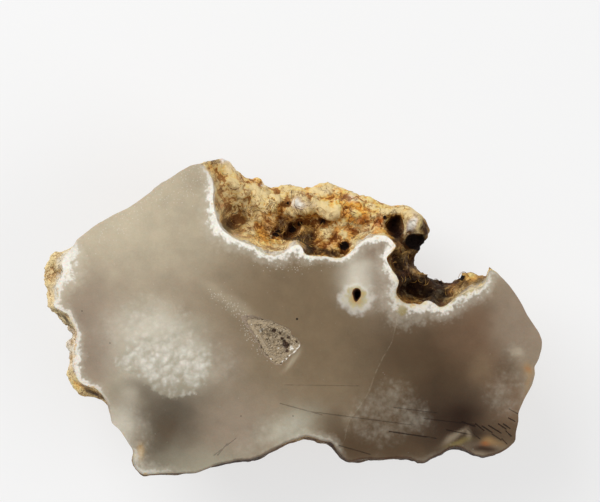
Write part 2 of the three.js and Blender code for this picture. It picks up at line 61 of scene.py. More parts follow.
# %% [markdown]
# ## Places on the stone
#
# Every place was measured from the middle of the stone's main field, in millimetres, with x to the right and
# y towards the deep bay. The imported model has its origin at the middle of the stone's box, so one small shift
# turns a measured place into a place in the model.

# %% Places
box_middle = Vector((-0.2045, -0.2421))  # the box's middle, as measured


def place(x, y):
    """A measured place in plan, in the model's metres."""
    return (Vector((x, y)) - box_middle) * MM


def measured(points):
    """Model points as measured millimetres: x, y, and z as the height above the ground."""
    moved = np.asarray(points, float) / MM
    moved[:, :2] += np.array(box_middle)
    return moved


# %% [markdown]
# ## The camera
#
# The stone was photographed from straight above with a long lens. The camera stands far enough away that the
# walls hardly show, and its field at the level of the sawn face is as wide as the photograph.

# %% Camera
photo_width_mm = 120
view_middle = place(1.2, 13.2)
camera_height = 450 * MM

camera = bpy.data.objects.new("camera", bpy.data.cameras.new("camera"))
bpy.context.scene.collection.objects.link(camera)
bpy.context.scene.camera = camera
camera.location = (view_middle.x, view_middle.y, face_level + camera_height)
camera.data.lens = camera.data.sensor_width * camera_height / (photo_width_mm * MM)
camera.data.clip_start = 0.01
print("lens", round(camera.data.lens), "mm")

# %% [markdown]
# ## Writing nodes as sums
#
# Shaders and Geometry Nodes are both made of Math nodes, and long chains of them are hard to read. A small
# class wraps an output socket, so that an expression such as `1 - mask * 0.5` adds the nodes it needs.
# Everything else goes through one method, which takes a node's type, its settings and its sockets.


# %% Sockets and trees
class Socket:
    """An output socket of a node. Arithmetic on it adds Math nodes."""

    def __init__(self, tree, socket):
        self.tree = tree
        self.socket = socket

    def out(self, name):
        """Another output of the same node."""
        return Socket(self.tree, find_socket(self.socket.node.outputs, name))

    def math(self, operation, *others):
        return self.tree.add("ShaderNodeMath", {"operation": operation}, [self, *others])

    def __add__(self, other):
        return self.math("ADD", other)

    def __sub__(self, other):
        return self.math("SUBTRACT", other)

    def __rsub__(self, other):
        return self.tree.add("ShaderNodeMath", {"operation": "SUBTRACT"}, [other, self])

    def __mul__(self, other):
        return self.math("MULTIPLY", other)

    def __truediv__(self, other):
        return self.math("DIVIDE", other)

    __radd__ = __add__
    __rmul__ = __mul__


def find_socket(sockets, name):
    """A socket by its place, its identifier, or the name of one that is switched on."""
    if isinstance(name, int):
        return sockets[name]
    exact = [socket for socket in sockets if socket.identifier == name]
    return (exact or [socket for socket in sockets if socket.name == name and socket.enabled])[0]


class Tree:
    """A node tree that is filled by one method."""

    def __init__(self, group):
        self.group = group

    def add(self, kind, settings=None, sockets=None):
        node = self.group.nodes.new(kind)
        for name, value in (settings or {}).items():
            setattr(node, name, value)
        sockets = sockets or {}
        for name, value in sockets.items() if isinstance(sockets, dict) else enumerate(sockets):
            target = find_socket(node.inputs, name)
            if isinstance(value, Socket):
                self.group.links.new(value.socket, target)
            else:
                target.default_value = value
        shown = [socket for socket in node.outputs if socket.enabled]
        return Socket(self, shown[0]) if shown else node

    def smooth(self, value, low, high):
        """0 below low, 1 above high, and a smooth step between them."""
        limits = {"Value": value, "From Min": low, "From Max": high}
        return self.add("ShaderNodeMapRange", {"interpolation_type": "SMOOTHSTEP"}, limits)

    def noise(self, where, size, detail=3.0, roughness=0.5):
        """Soft noise from 0 to 1 whose forms are about a size across."""
        sockets = {"Vector": where, "Scale": 1 / size, "Detail": detail, "Roughness": roughness}
        return self.add("ShaderNodeTexNoise", {}, sockets)

    def cells(self, where, size):
        """Voronoi cells of a size: the distance from a cell's middle, and its colour."""
        return self.add("ShaderNodeTexVoronoi", {}, {"Vector": where, "Scale": 1 / size})

    def soft_cells(self, where, size, smoothness):
        """Voronoi cells that run into each other smoothly: the distance from a cell's middle."""
        sockets = {"Vector": where, "Scale": 1 / size, "Smoothness": smoothness}
        return self.add("ShaderNodeTexVoronoi", {"feature": "SMOOTH_F1"}, sockets)

    def scaled(self, vector, factor):
        """A vector or a colour times a number."""
        return self.add("ShaderNodeVectorMath", {"operation": "SCALE"}, {0: vector, "Scale": factor})

    def vectors(self, operation, *values):
        return self.add("ShaderNodeVectorMath", {"operation": operation}, list(values))

    def moved(self, where, by, reach):
        """A place moved by a vector times a reach."""
        return self.vectors("ADD", where, self.scaled(by, reach))

    def mix(self, factor, first, second):
        """A colour between two others, each a socket or the name of a tone."""
        first, second = (tones[colour] if isinstance(colour, str) else colour for colour in (first, second))
        sockets = {"Factor_Float": factor, "A_Color": first, "B_Color": second}
        return self.add("ShaderNodeMix", {"data_type": "RGBA"}, sockets).out("Result_Color")


# %% [markdown]
# ## Colours of the stone
#
# A stone like this has a few tones that run into each other: pale and warm greys, olive brown and umber in
# the chalcedony, milk white in its clouds, and chalk, cream, ochre and rust in the rind. They are named here
# once, as they look on a screen, and turned into the linear values that a renderer adds up.


# %% Palette
def linear(red, green, blue):
    """A colour from screen values of 0 to 255."""
    shares = [value / 255 for value in (red, green, blue)]
    return tuple(s / 12.92 if s <= 0.04045 else ((s + 0.055) / 1.055) ** 2.4 for s in shares) + (1.0,)


screen_tones = {
    "pale grey": (190, 178, 154),
    "warm grey": (156, 141, 119),
    "olive brown": (122, 104, 80),
    "smoke": (94, 84, 70),
    "umber": (84, 66, 47),
    "dark umber": (56, 38, 25),
    "rose brown": (112, 87, 66),
    "grey brown": (140, 123, 105),
    "milk": (204, 197, 180),
    "green milk": (152, 145, 126),
    "mauve grey": (150, 134, 116),
    "pocket tan": (168, 150, 122),
    "chalk": (238, 235, 226),
    "cream": (228, 214, 174),
    "light ochre": (236, 211, 156),
    "ochre": (206, 160, 82),
    "amber": (198, 138, 50),
    "tan": (172, 136, 86),
    "olive cream": (212, 196, 138),
    "olive": (140, 124, 72),
    "golden brown": (146, 96, 44),
    "rust": (156, 84, 30),
    "red black": (44, 17, 10),
    "brown": (104, 64, 30),
    "dark brown": (56, 32, 17),
    "near black": (26, 14, 9),
}
tones = {name: linear(*colour) for name, colour in screen_tones.items()}

# %% [markdown]
# ## The walls without the face
#
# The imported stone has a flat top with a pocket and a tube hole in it. The finished stone needs finer walls
# and a finer face, and each wants its own way of making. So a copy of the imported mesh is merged, its top is
# taken off, and of the loose shells that are left only the outer wall is kept. A collar carries that wall up
# past the saw cut, because a rough surface that is cut through afterwards gets a crisp, natural edge.

# %% Outer wall
merge_distance = 0.001 * MM
level_tolerance = 0.01 * MM
collar_height = 3 * MM


def merged_copy(node_name):
    """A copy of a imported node's mesh whose triangles share their corners."""
    copy = bmesh.new()
    copy.from_mesh(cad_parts[node_name].data)
    bmesh.ops.remove_doubles(copy, verts=copy.verts, dist=merge_distance)
    return copy


def shells(mesh):
    """The separate shells of a mesh, each a list of faces in a fixed order, the largest first."""
    left = dict.fromkeys(mesh.faces)
    found = []
    while left:
        shell = [left.popitem()[0]]
        for face in shell:  # the list grows while it is walked
            for other in [neighbour for edge in face.edges for neighbour in edge.link_faces]:
                if other in left:
                    del left[other]
                    shell.append(other)
        found.append(shell)
    return sorted(found, key=len, reverse=True)


wall = merged_copy("agate_stone")
top_faces = [f for f in wall.faces if min(v.co.z for v in f.verts) > face_level - level_tolerance]
bmesh.ops.delete(wall, geom=top_faces, context="FACES")
hollows = [face for shell in shells(wall)[1:] for face in shell]
bmesh.ops.delete(wall, geom=hollows, context="FACES")
rim_edges = [edge for edge in wall.edges if edge.is_boundary]
collar = bmesh.ops.extrude_edge_only(wall, edges=rim_edges)["geom"]
collar_top = [part for part in collar if isinstance(part, bmesh.types.BMVert)]
bmesh.ops.translate(wall, verts=collar_top, vec=(0, 0, collar_height))
bmesh.ops.holes_fill(wall, edges=[edge for edge in wall.edges if edge.is_boundary])
bmesh.ops.triangulate(wall, faces=wall.faces)
bmesh.ops.recalc_face_normals(wall, faces=wall.faces)
print("outer wall", len(wall.faces), "faces,", len(rim_edges), "edges round the rim")

# %% [markdown]
# ## What the edge is like, all the way round
#
# Going round the sawn face, the edge changes. Along the two bays and the left lobes the chalcedony ends in a
# feathery band of chalk white, with rind beyond it. Along the bottom the band is only a dull, greenish milk.
# At the upper left and on the right a piece broke away, so the edge is bare chalcedony. A few marks round the
# rim say how wide and how white the chalk is and how much rind there is, and everything between two marks is
# in between.

# %% Marks round the rim
# Measured x and y, width of the chalk in mm, rind from 0 (bare fracture) to 1, and whiteness from 0 to 1
rim_marks = [
    (-43.6, 15.3, 0.6, 0.3, 0.6), (-40.0, 18.1, 0.3, 0.0, 0.3), (-25.0, 27.4, 0.3, 0.0, 0.3),
    (-19.5, 30.5, 0.4, 0.1, 0.4), (-17.6, 29.7, 0.9, 1.0, 0.8), (-16.2, 24.0, 1.5, 1.0, 1.0),
    (-15.4, 19.3, 2.2, 1.0, 1.0), (-12.5, 16.0, 2.0, 1.0, 1.0), (-7.9, 14.1, 1.4, 1.0, 1.0),
    (-4.0, 12.3, 1.5, 1.0, 1.0), (0.8, 14.5, 2.4, 1.0, 1.0), (4.4, 12.1, 0.9, 1.0, 1.0),
    (9.3, 11.8, 1.0, 1.0, 1.0), (12.6, 14.2, 1.3, 1.0, 1.0), (16.6, 16.4, 1.6, 1.0, 1.0),
    (19.8, 15.1, 1.7, 1.0, 1.0), (18.3, 11.8, 1.5, 1.0, 1.0), (19.7, 9.3, 1.8, 1.0, 1.0),
    (21.1, 7.0, 1.6, 1.0, 0.8), (20.2, 4.6, 2.1, 1.0, 0.65), (22.2, 2.6, 3.0, 1.0, 0.7),
    (25.2, 2.3, 2.2, 1.0, 0.85), (28.1, 2.7, 1.8, 1.0, 0.9), (31.5, 3.1, 1.8, 1.0, 0.9),
    (36.6, 5.7, 1.7, 1.0, 0.9), (38.6, 7.5, 1.6, 1.0, 0.8), (39.3, 9.6, 0.9, 0.6, 0.5),
    (42.9, 6.4, 0.25, 0.0, 0.3), (49.0, -3.2, 0.25, 0.0, 0.3), (49.5, -6.3, 0.3, 0.0, 0.3),
    (47.9, -10.0, 0.5, 0.5, 0.1), (47.6, -13.6, 0.3, 0.3, 0.1), (44.8, -19.2, 0.3, 0.1, 0.1),
    (44.3, -24.8, 0.3, 0.3, 0.0), (42.7, -26.2, 0.3, 0.6, 0.0), (37.8, -27.9, 0.4, 0.8, 0.1),
    (35.6, -26.9, 0.4, 0.8, 0.1), (33.2, -25.9, 0.4, 0.8, 0.1), (29.4, -27.3, 0.5, 0.8, 0.1),
    (26.1, -29.1, 0.6, 0.7, 0.2), (20.5, -28.1, 0.3, 0.7, 0.1), (11.1, -28.9, 0.4, 0.7, 0.2),
    (8.5, -26.3, 0.8, 0.8, 0.4), (5.5, -24.7, 1.0, 0.8, 0.4), (2.4, -23.7, 0.9, 0.8, 0.3),
    (-2.9, -25.7, 0.5, 0.7, 0.2), (-11.1, -28.5, 0.4, 0.7, 0.2), (-19.8, -31.2, 0.5, 0.6, 0.3),
    (-30.3, -31.5, 1.3, 0.8, 0.6), (-32.3, -28.7, 1.2, 0.7, 0.5), (-34.9, -22.5, 0.6, 0.4, 0.5),
    (-37.0, -18.5, 0.6, 0.6, 0.5), (-38.5, -15.2, 0.8, 1.0, 0.9), (-42.1, -13.4, 1.1, 1.0, 0.9),
    (-44.1, -9.1, 1.3, 1.0, 0.9), (-43.4, -7.3, 1.4, 1.0, 0.9), (-43.3, -4.2, 1.0, 1.0, 0.9),
    (-44.7, -0.7, 0.9, 1.0, 0.9), (-46.4, 1.3, 1.0, 1.0, 0.9), (-47.9, 3.2, 1.4, 1.0, 0.9),
    (-47.7, 6.3, 2.0, 1.0, 0.9), (-46.2, 10.8, 3.2, 1.0, 1.0), (-44.4, 13.8, 2.2, 0.8, 0.9),
]


def chain(edges):
    """Edges that form closed loops, as lists of vertices in order, the longest loop first."""
    following = {}
    for edge in edges:
        for vertex in edge.verts:
            following.setdefault(vertex, []).append(edge.other_vert(vertex))
    loops = []
    while following:
        start = next(iter(following))
        loop, here = [start], start
        while True:
            near = [vertex for vertex in following.pop(here) if vertex in following]
            if not near:
                break
            here = near[0]
            loop.append(here)
        loops.append(loop)
    return sorted(loops, key=len, reverse=True)


def round_the_rim(loop):
    """Chalk width, rind and whiteness at each point of a closed line in plan, from the nearest marks."""
    points = np.asarray(loop, float)
    steps = np.linalg.norm(np.roll(points, -1, 0) - points, axis=1)
    along = np.concatenate([[0], np.cumsum(steps)[:-1]])
    marks = []
    for x, y, *values in rim_marks:
        at = np.argmin(np.linalg.norm(points - np.array(place(x, y)), axis=1))
        marks.append((along[at], *values))
    marks = np.array(sorted(marks))
    return [np.interp(along, marks[:, 0], marks[:, i], period=steps.sum()) for i in (1, 2, 3)]


rim_loop = [vertex.co.xy for vertex in chain(rim_edges)[0]]
chalk_round, rind_round, _ = round_the_rim(rim_loop)
print("chalk", round(chalk_round.min(), 2), "to", round(chalk_round.max(), 2), "mm wide")

# %% [markdown]
# ## Reading the marks anywhere
#
# A point of the wall takes its values from the nearest point of the rim. A search tree finds that quickly for
# a hundred thousand points. Below the cut the rind's limit wanders, as the edge of a natural break does, and
# far below the face the rind closes round the stone, also under the broken sides.

# %% Nearest point of the rim
rind_returns = (11, 16)  # from this depth below the face on, down to the second one, rind is back
limit_starts = (0.5, 4.0)  # between these depths, in mm, the rind's limit starts to wander from the marks
limit_reach_in_plan = 0.4  # its reach along the wall, as a share of its reach up and down
limit_sways = [(10 * MM, 16 * MM), (3.5 * MM, 6 * MM), (1.2 * MM, 1.6 * MM)]  # size and reach of its turns


def tree_of(points):
    """A search tree over points in plan."""
    tree = kdtree.KDTree(len(points))
    for i, point in enumerate(points):
        tree.insert((point[0], point[1], 0), i)
    tree.balance()
    return tree


def nearest(tree, points):
    """The number of the tree's nearest point for each point in plan."""
    return np.array([tree.find((x, y, 0))[1] for x, y in points[:, :2]])


def smooth_step(low, high, value):
    share = np.clip((value - low) / (high - low), 0, 1)
    return share * share * (3 - 2 * share)


rim_tree = tree_of(rim_loop)


def wandering(points, *sways):
    """Points moved by soft noise, for uneven edges of what is read there. A sway is a size and a reach."""
    moved = points.copy()
    for size, reach in sways:
        shift = [noise.noise_vector(point) for point in (points / size).tolist()]
        moved += np.array([tuple(vector) for vector in shift]) * reach
    return moved


def rind_amount(points, tree, rind_at_rim):
    """How much rind there is at points of the wall: 0 is bare fracture."""
    below_rim = smooth_step(*limit_starts, (face_level - points[:, 2]) / MM)
    shift = (wandering(points, *limit_sways) - points) * (limit_reach_in_plan, limit_reach_in_plan, 1.0)
    moved = points + shift * below_rim[:, None]
    from_marks = rind_at_rim[nearest(tree, moved)]
    return np.maximum(from_marks, smooth_step(*rind_returns, (face_level - moved[:, 2]) / MM))


# %% [markdown]
# ## Plain helpers for meshes
#
# Each step below hands a mesh on to the next. Points are read and written as whole arrays, because that is
# far quicker than one at a time, and what a material needs to know is kept on the mesh as named attributes.


# %% Mesh helpers
def vectors_of(mesh, name):
    vectors = np.zeros(len(mesh.vertices) * 3)
    mesh.vertices.foreach_get(name, vectors)
    return vectors.reshape(-1, 3)


def points_of(mesh):
    return vectors_of(mesh, "co")


def normals_of(mesh):
    return vectors_of(mesh, "normal")


def keep_value(mesh, name, values):
    """Keeps one number for each vertex of a mesh."""
    attribute = mesh.attributes.get(name) or mesh.attributes.new(name, "FLOAT", "POINT")
    attribute.data.foreach_set("value", np.asarray(values, np.float32))


def read_value(mesh, name):
    values = np.zeros(len(mesh.vertices), np.float32)
    mesh.attributes[name].data.foreach_get("value", values)
    return values


def new_object(name, mesh):
    piece = bpy.data.objects.new(name, mesh)
    bpy.context.scene.collection.objects.link(piece)
    return piece


def with_modifiers_applied(piece):
    """The mesh that a piece's modifiers make, as a new plain mesh. The modifiers go."""
    depsgraph = bpy.context.evaluated_depsgraph_get()
    made = bpy.data.meshes.new_from_object(piece.evaluated_get(depsgraph))
    piece.modifiers.clear()
    return made


def drop(piece):
    """Removes a helper object and its mesh."""
    mesh = piece.data
    bpy.data.objects.remove(piece)
    bpy.data.meshes.remove(mesh)


# %% [markdown]
# ## Geometry Nodes from a script
#
# A tree takes a mesh in, has its sizes as named inputs, and gives a mesh back. The modifier that runs it is
# only there for a moment: its inputs are set by their identifiers, the result becomes a plain mesh, and it
# is gone before the piece is used.


# %% Geometry Nodes helpers
half_turn = 3.1  # in radians


class GeometryTree(Tree):
    """A Geometry Nodes tree with named sizes."""

    def __init__(self, name, **sizes):
        super().__init__(bpy.data.node_groups.new(name, "GeometryNodeTree"))
        interface = self.group.interface
        interface.new_socket("Geometry", in_out="OUTPUT", socket_type="NodeSocketGeometry")
        interface.new_socket("Geometry", in_out="INPUT", socket_type="NodeSocketGeometry")
        self.sizes = {}
        for label, value in sizes.items():
            kind = "NodeSocketInt" if isinstance(value, int) else "NodeSocketFloat"
            socket = interface.new_socket(label, in_out="INPUT", socket_type=kind)
            self.sizes[socket.identifier] = value
        self.entry = self.add("NodeGroupInput")

    def size(self, label):
        return self.entry.out(label)

    def attribute(self, name):
        return self.add("GeometryNodeInputNamedAttribute", {"data_type": "FLOAT"}, {"Name": name})

    def scattered(self, density):
        """Points strewn over the mesh, as close together as an attribute says."""
        sockets = {
            "Mesh": self.entry,
            "Distance Min": self.size("spacing"),
            "Density Max": self.size("density"),
            "Density Factor": self.attribute(density),
            "Seed": self.size("seed"),
        }
        return self.add("GeometryNodeDistributePointsOnFaces", {"distribute_method": "POISSON"}, sockets)

    def by_chance(self, kind, socket, **limits):
        """A value by chance between two limits."""
        sockets = {**limits, "Seed": self.size("seed")}
        return self.add("FunctionNodeRandomValue", {"data_type": kind}, sockets).out(socket)

    def random_size(self):
        """A size by chance between the tree's smallest and largest."""
        limits = {"Min_001": self.size("smallest"), "Max_001": self.size("largest")}
        return self.by_chance("FLOAT", "Value_001", **limits)

    def turned(self, spots, lean):
        """The rotation of scattered points, leant a little and turned round, by chance."""
        limits = {"Min": (-lean, -lean, -half_turn), "Max": (lean, lean, half_turn)}
        turn = self.by_chance("FLOAT_VECTOR", "Value", **limits)
        settings = {"rotation_type": "EULER", "space": "LOCAL"}
        sockets = {"Rotation": spots.out("Rotation"), "Rotate By": turn}
        return self.add("FunctionNodeRotateEuler", settings, sockets)

    def copies(self, spots, form, **sockets):
        """Copies of a form on points."""
        return self.add("GeometryNodeInstanceOnPoints", {}, {"Points": spots, "Instance": form, **sockets})

    def finish(self, shape, material):
        """Ends the tree with real geometry that carries its material."""
        real = self.add("GeometryNodeRealizeInstances", {}, {"Geometry": shape})
        dressed = self.add("GeometryNodeSetMaterial", {}, {"Geometry": real, "Material": material})
        self.add("NodeGroupOutput", {}, {"Geometry": dressed})
        return self

    def run(self, mesh):
        """What the tree makes of a mesh."""
        carrier = new_object("carrier", mesh)
        modifier = carrier.modifiers.new("grow", "NODES")
        modifier.node_group = self.group
        for identifier, value in self.sizes.items():
            modifier[identifier] = value
        made = with_modifiers_applied(carrier)
        bpy.data.objects.remove(carrier)
        return made


# %% [markdown]
# ## Lumps in the bays
#
# The rind in the two bays and on the lobes is a crowd of small round lumps, grown into one another. They
# could be sculpted one by one, but there are hundreds, so Geometry Nodes scatter rough balls where an
# attribute says that the rind is lumpy. Joined with the wall and remeshed into one skin, they melt together
# the way the real ones have grown.

# %% Lumpy places
lump_depth = (2.5, 4.0)  # lumps start this far below the face, so that they don't touch the saw cut
deep_enough = (14, 20)  # and fade out on the underside
lump_zones = [((2, 20), (24, 11), -15), ((29, 8), (13, 8), 20), ((-47, 1), (7, 18), 0)]  # crowded with lumps


def soft_mask(points, middle, radii, turn):
    """1 in the middle of an ellipse in plan, falling softly to 0 around its edge."""
    offset = points[:, :2] - np.array(middle)
    cos, sin = math.cos(math.radians(turn)), math.sin(math.radians(turn))
    u = (offset[:, 0] * cos + offset[:, 1] * sin) / radii[0]
    v = (offset[:, 1] * cos - offset[:, 0] * sin) / radii[1]
    return np.exp(-((u * u + v * v) ** 1.3))


def zones_cover(points, zones):
    """How much soft zones cover points, all of them together. A zone ends with its own share."""
    return sum(share * soft_mask(points, *zone) for *zone, share in zones)


rind_material = bpy.data.materials.new("natural_rind")
face_material = bpy.data.materials.new("sawn_chalcedony")
pocket_material = bpy.data.materials.new("pocket_wall")
tube_material = bpy.data.materials.new("tube_wall")


def corner_numbers(face):
    """The point numbers of a face in turn, from its lowest one on."""
    numbers = [vertex.index for vertex in face.verts]
    first = numbers.index(min(numbers))
    return numbers[first:] + numbers[:first]


# The scattered lumps depend on the order of the faces, so it is made the same in every run
wall.verts.index_update()
wall_mesh = bpy.data.meshes.new("wall")
wall_mesh.from_pydata([vertex.co for vertex in wall.verts], [], sorted(map(corner_numbers, wall.faces)))
wall.free()
wall_points = points_of(wall_mesh)
depth_mm = (face_level - wall_points[:, 2]) / MM
lumpy = rind_round[nearest(rim_tree, wall_points)] * smooth_step(*lump_depth, depth_mm)
lumpy *= 1 - 0.85 * smooth_step(*deep_enough, depth_mm)
crowded = sum(soft_mask(measured(wall_points), *zone) for zone in lump_zones)
lumpy *= np.clip(crowded, 0.25, 1)
keep_value(wall_mesh, "lumpy", lumpy)
keep_value(wall_mesh, "swelling", np.clip(crowded, 0.45, 1))


# %% Scattering the lumps
def lump_tree():
    tree = GeometryTree(
        "scatter lumps",
        spacing=1.1 * MM,
        density=420000.0,
        smallest=0.35,
        largest=1.15,
        radius=1.5 * MM,
        sunk=0.45 * MM,
        seed=3,
    )
    spots = tree.scattered("lumpy")
    ball = tree.add("GeometryNodeMeshIcoSphere", {}, {"Radius": tree.size("radius"), "Subdivisions": 3})
    inward = tree.scaled(spots.out("Normal"), 0 - tree.size("sunk"))
    sunk = tree.add("GeometryNodeSetPosition", {}, {"Geometry": spots, "Offset": inward})
    lumps = tree.copies(sunk, ball, Scale=tree.random_size() * tree.attribute("swelling"))
    joined = tree.add("GeometryNodeJoinGeometry", {}, {"Geometry": tree.entry})
    tree.group.links.new(lumps.socket, joined.socket.node.inputs[0])
    return tree.finish(joined, rind_material)


lumpy_wall = lump_tree().run(wall_mesh)
print("wall with lumps", len(lumpy_wall.polygons), "faces")

# %% [markdown]
# ## One skin
#
# A voxel remesh turns the wall and its lumps into one closed skin of small even squares. A few rounds of
# smoothing then take off the steps that the voxels leave.

# %% Remesh
skin_step = 0.47 * MM
smoothing_rounds = 3

skin = new_object("skin", lumpy_wall)
remesh = skin.modifiers.new("remesh", "REMESH")
remesh.mode = "VOXEL"
remesh.voxel_size = skin_step
smoothing = skin.modifiers.new("smooth", "SMOOTH")
smoothing.factor = 0.5
smoothing.iterations = smoothing_rounds
skin_mesh = with_modifiers_applied(skin)
drop(skin)
print("skin", len(skin_mesh.polygons), "faces")

# %% [markdown]
# ## Weathering
#
# Rind has relief at several sizes: knuckles of a few millimetres, pits where grains fell out, and a fine
# grain. Broken chalcedony is smoother, with shallow shell-shaped hollows, and what rind is left beside a
# break lies a little deeper than the break. Geometry Nodes move every point of the skin along its normal by
# a sum of these, and they keep the height, so that its range can be printed.

# %% Weathering the skin
rim_calm = (0.0, 3.0)  # depth below the face over which the relief grows to its full height
# Middle and radii in mm, turn in degrees, and how far the rind rises there, in mm
rind_forms = [
    ((1.0, 23.2), (1.7, 1.4), 0, 0.9), ((7.5, 21.1), (2.0, 1.4), 0, 0.7), ((6.3, 16.9), (1.6, 1.4), 0, 0.6),
    ((9.6, 16.6), (1.3, 1.3), 0, 0.6), ((23.9, 18.8), (2.2, 2.4), 0, 0.5), ((-8.8, 17.7), (1.2, 1.2), 0, 0.5),
    ((-7.0, 24.4), (2.6, 1.8), -25, 0.5), ((12.2, 22.8), (3.0, 0.7), 12, 0.5),
    ((14.5, 20.6), (3.0, 0.6), -10, 0.4), ((-12.7, 19.4), (1.7, 1.9), 0, -0.9),
    ((5.9, 19.2), (1.6, 0.6), 0, -1.3), ((3.0, 16.0), (1.9, 2.8), 10, -1.1),
    ((20.6, 18.7), (1.5, 2.9), 5, -0.8), ((24.4, 14.9), (1.9, 1.5), 0, -1.1),
    ((8.4, 12.6), (1.9, 0.6), -8, -0.8), ((-3.6, 16.9), (0.8, 0.8), 0, -1.5),
    ((-0.4, 17.7), (0.8, 0.8), 0, -1.5), ((10.3, 14.2), (1.0, 1.0), 0, -2.0),
    ((-1.3, 22.9), (0.4, 0.6), 0, -1.2), ((-0.6, 15.9), (2.2, 0.5), -22, -0.7),
    ((-47.2, 9.8), (1.6, 1.8), 0, 1.0),
]
upper_side = (10, 15)  # the forms are seen from above, so they fade out between these heights
rind_sways = [(2.6, 0.7), (1.0, 0.45)]  # size and reach in mm of what makes the forms uneven


def weather_tree():
    tree = GeometryTree(
        "weather",
        knuckles=0.55 * MM,
        folds=0.55 * MM,
        pits=0.8 * MM,
        grain=0.16 * MM,
        shells=2.2 * MM,
        recess=1.2 * MM,
    )
    rind = tree.attribute("rind")
    calm = tree.attribute("calm")
    position = tree.add("GeometryNodeInputPosition")
    here = tree.scaled(position, 1 / MM)
    knuckle = 0.5 - tree.soft_cells(here, 3.4, 0.6)
    small_knuckle = 0.5 - tree.soft_cells(here, 1.5, 0.5)
    pit_cells = tree.cells(here, 2.6)
    is_pit = tree.smooth(tree.noise(here, 7.0), 0.56, 0.64)
    pit = (1 - tree.smooth(pit_cells, 0.08, 0.34)) * is_pit
    grain = tree.noise(here, 1.0, 4.0, 0.7) - 0.5
    warp = tree.noise(here, 3.0, 2.0).out("Color")
    flowing = tree.moved(here, warp, 5.0)
    fold = 0.3 - (tree.noise(flowing, 2.8, 2.0) - 0.5).math("ABSOLUTE") * 5.0
    shell = tree.cells(tree.moved(here, warp, 2.0), 9.0) - 0.95
    ripple = tree.noise(here, 2.2, 3.0) - 0.5
    rough = (knuckle + small_knuckle * 0.55) * tree.size("knuckles") - pit * tree.size("pits")
    rough = rough + grain * tree.size("grain") * 2.0 + fold * tree.size("folds") * tree.attribute("folded")
    broken = shell * tree.size("shells") + ripple * tree.size("grain") * 1.5
    below_rim = tree.smooth(calm, 0.3, 0.9)
    recess = tree.attribute("beside_break") * tree.size("recess") * below_rim
    height = (rough * rind + tree.attribute("forms") * MM) * calm - recess * rind
    height = height + broken * below_rim * (1 - rind)
    normal = tree.add("GeometryNodeInputNormal")
    offset = tree.scaled(normal, height)
    kept = tree.add(
        "GeometryNodeStoreNamedAttribute",
        {"data_type": "FLOAT", "domain": "POINT"},
        {"Geometry": tree.entry, "Name": "crest", "Value": height / MM},
    )
    moved = tree.add("GeometryNodeSetPosition", {}, {"Geometry": kept, "Offset": offset})
    return tree.finish(moved, rind_material)


skin_points = points_of(skin_mesh)
depth_mm = (face_level - skin_points[:, 2]) / MM
keep_value(skin_mesh, "rind", rind_amount(skin_points, rim_tree, rind_round))
at_rim = rind_round[nearest(rim_tree, skin_points)]
keep_value(skin_mesh, "beside_break", 1 - smooth_step(0.1, 0.5, at_rim))
keep_value(skin_mesh, "calm", 0.3 + 0.7 * smooth_step(*rim_calm, depth_mm))
skin_mm = measured(skin_points)
above = smooth_step(*upper_side, skin_mm[:, 2])
uneven_mm = wandering(skin_mm, *rind_sways)
keep_value(skin_mesh, "forms", above * zones_cover(uneven_mm, rind_forms))
keep_value(skin_mesh, "folded", np.minimum(sum(soft_mask(skin_mm, *zone) for zone in lump_zones), 1))
rough_mesh = weather_tree().run(skin_mesh)
crest = read_value(rough_mesh, "crest")
print("relief", round(float(crest.min()), 2), "to", round(float(crest.max()), 2), "mm")

# %% [markdown]
# ## The saw cut
#
# The saw goes through the rough skin at the level of the face, and the part above it is thrown away. The
# stone lies on the ground, so nothing may reach below it.

# %% Cut
snap = 0.04 * MM

cut = bmesh.new()
cut.from_mesh(rough_mesh)
bmesh.ops.bisect_plane(
    cut,
    geom=cut.verts[:] + cut.edges[:] + cut.faces[:],
    dist=snap,
    plane_co=(0, 0, face_level),
    plane_no=(0, 0, 1),
    clear_outer=True,
)
for vertex in cut.verts:
    vertex.co.z = max(vertex.co.z, 0.0)
largest = set(shells(cut)[0])
bmesh.ops.delete(cut, geom=[face for face in cut.faces if face not in largest], context="FACES")
rim = chain([edge for edge in cut.edges if edge.is_boundary])[0]
for vertex in rim:
    vertex.co.z = face_level
cut.verts.index_update()
rim_numbers = [vertex.index for vertex in rim]
body_mesh = bpy.data.meshes.new("body")
cut.to_mesh(body_mesh)
cut.free()
print("body", len(body_mesh.polygons), "faces,", len(rim_numbers), "points round the rim")

# %% [markdown]
# ## The pocket and the tube hole
#
# Two hollows open in the face. Each has a mouth that was measured, and narrows towards its deepest point.
# Its wall is made of rings: the mouth, drawn in step by step and lowered along a profile, with a little noise
# so that no ring is a clean copy of the last. The pocket begins as a shallow dish, the tube goes straight in.

# %% Hollows
pocket_mouth = [
    (-10.4, 0.5), (-7.4, 0.2), (-4.5, -0.7), (-0.9, -2.5), (1.2, -5.0), (1.4, -5.9),
    (-2.7, -9.7), (-4.0, -9.3), (-6.3, -7.5), (-7.7, -4.7), (-9.2, -2.4), (-10.8, 0.0),
]
tube_mouth = [
    (12.2, 5.85), (12.8, 5.8), (13.25, 5.5), (13.55, 4.9), (13.45, 4.2), (13.1, 3.6),
    (12.65, 3.1), (12.3, 2.8), (12.0, 3.2), (11.75, 3.9), (11.6, 4.7), (11.75, 5.4),
]
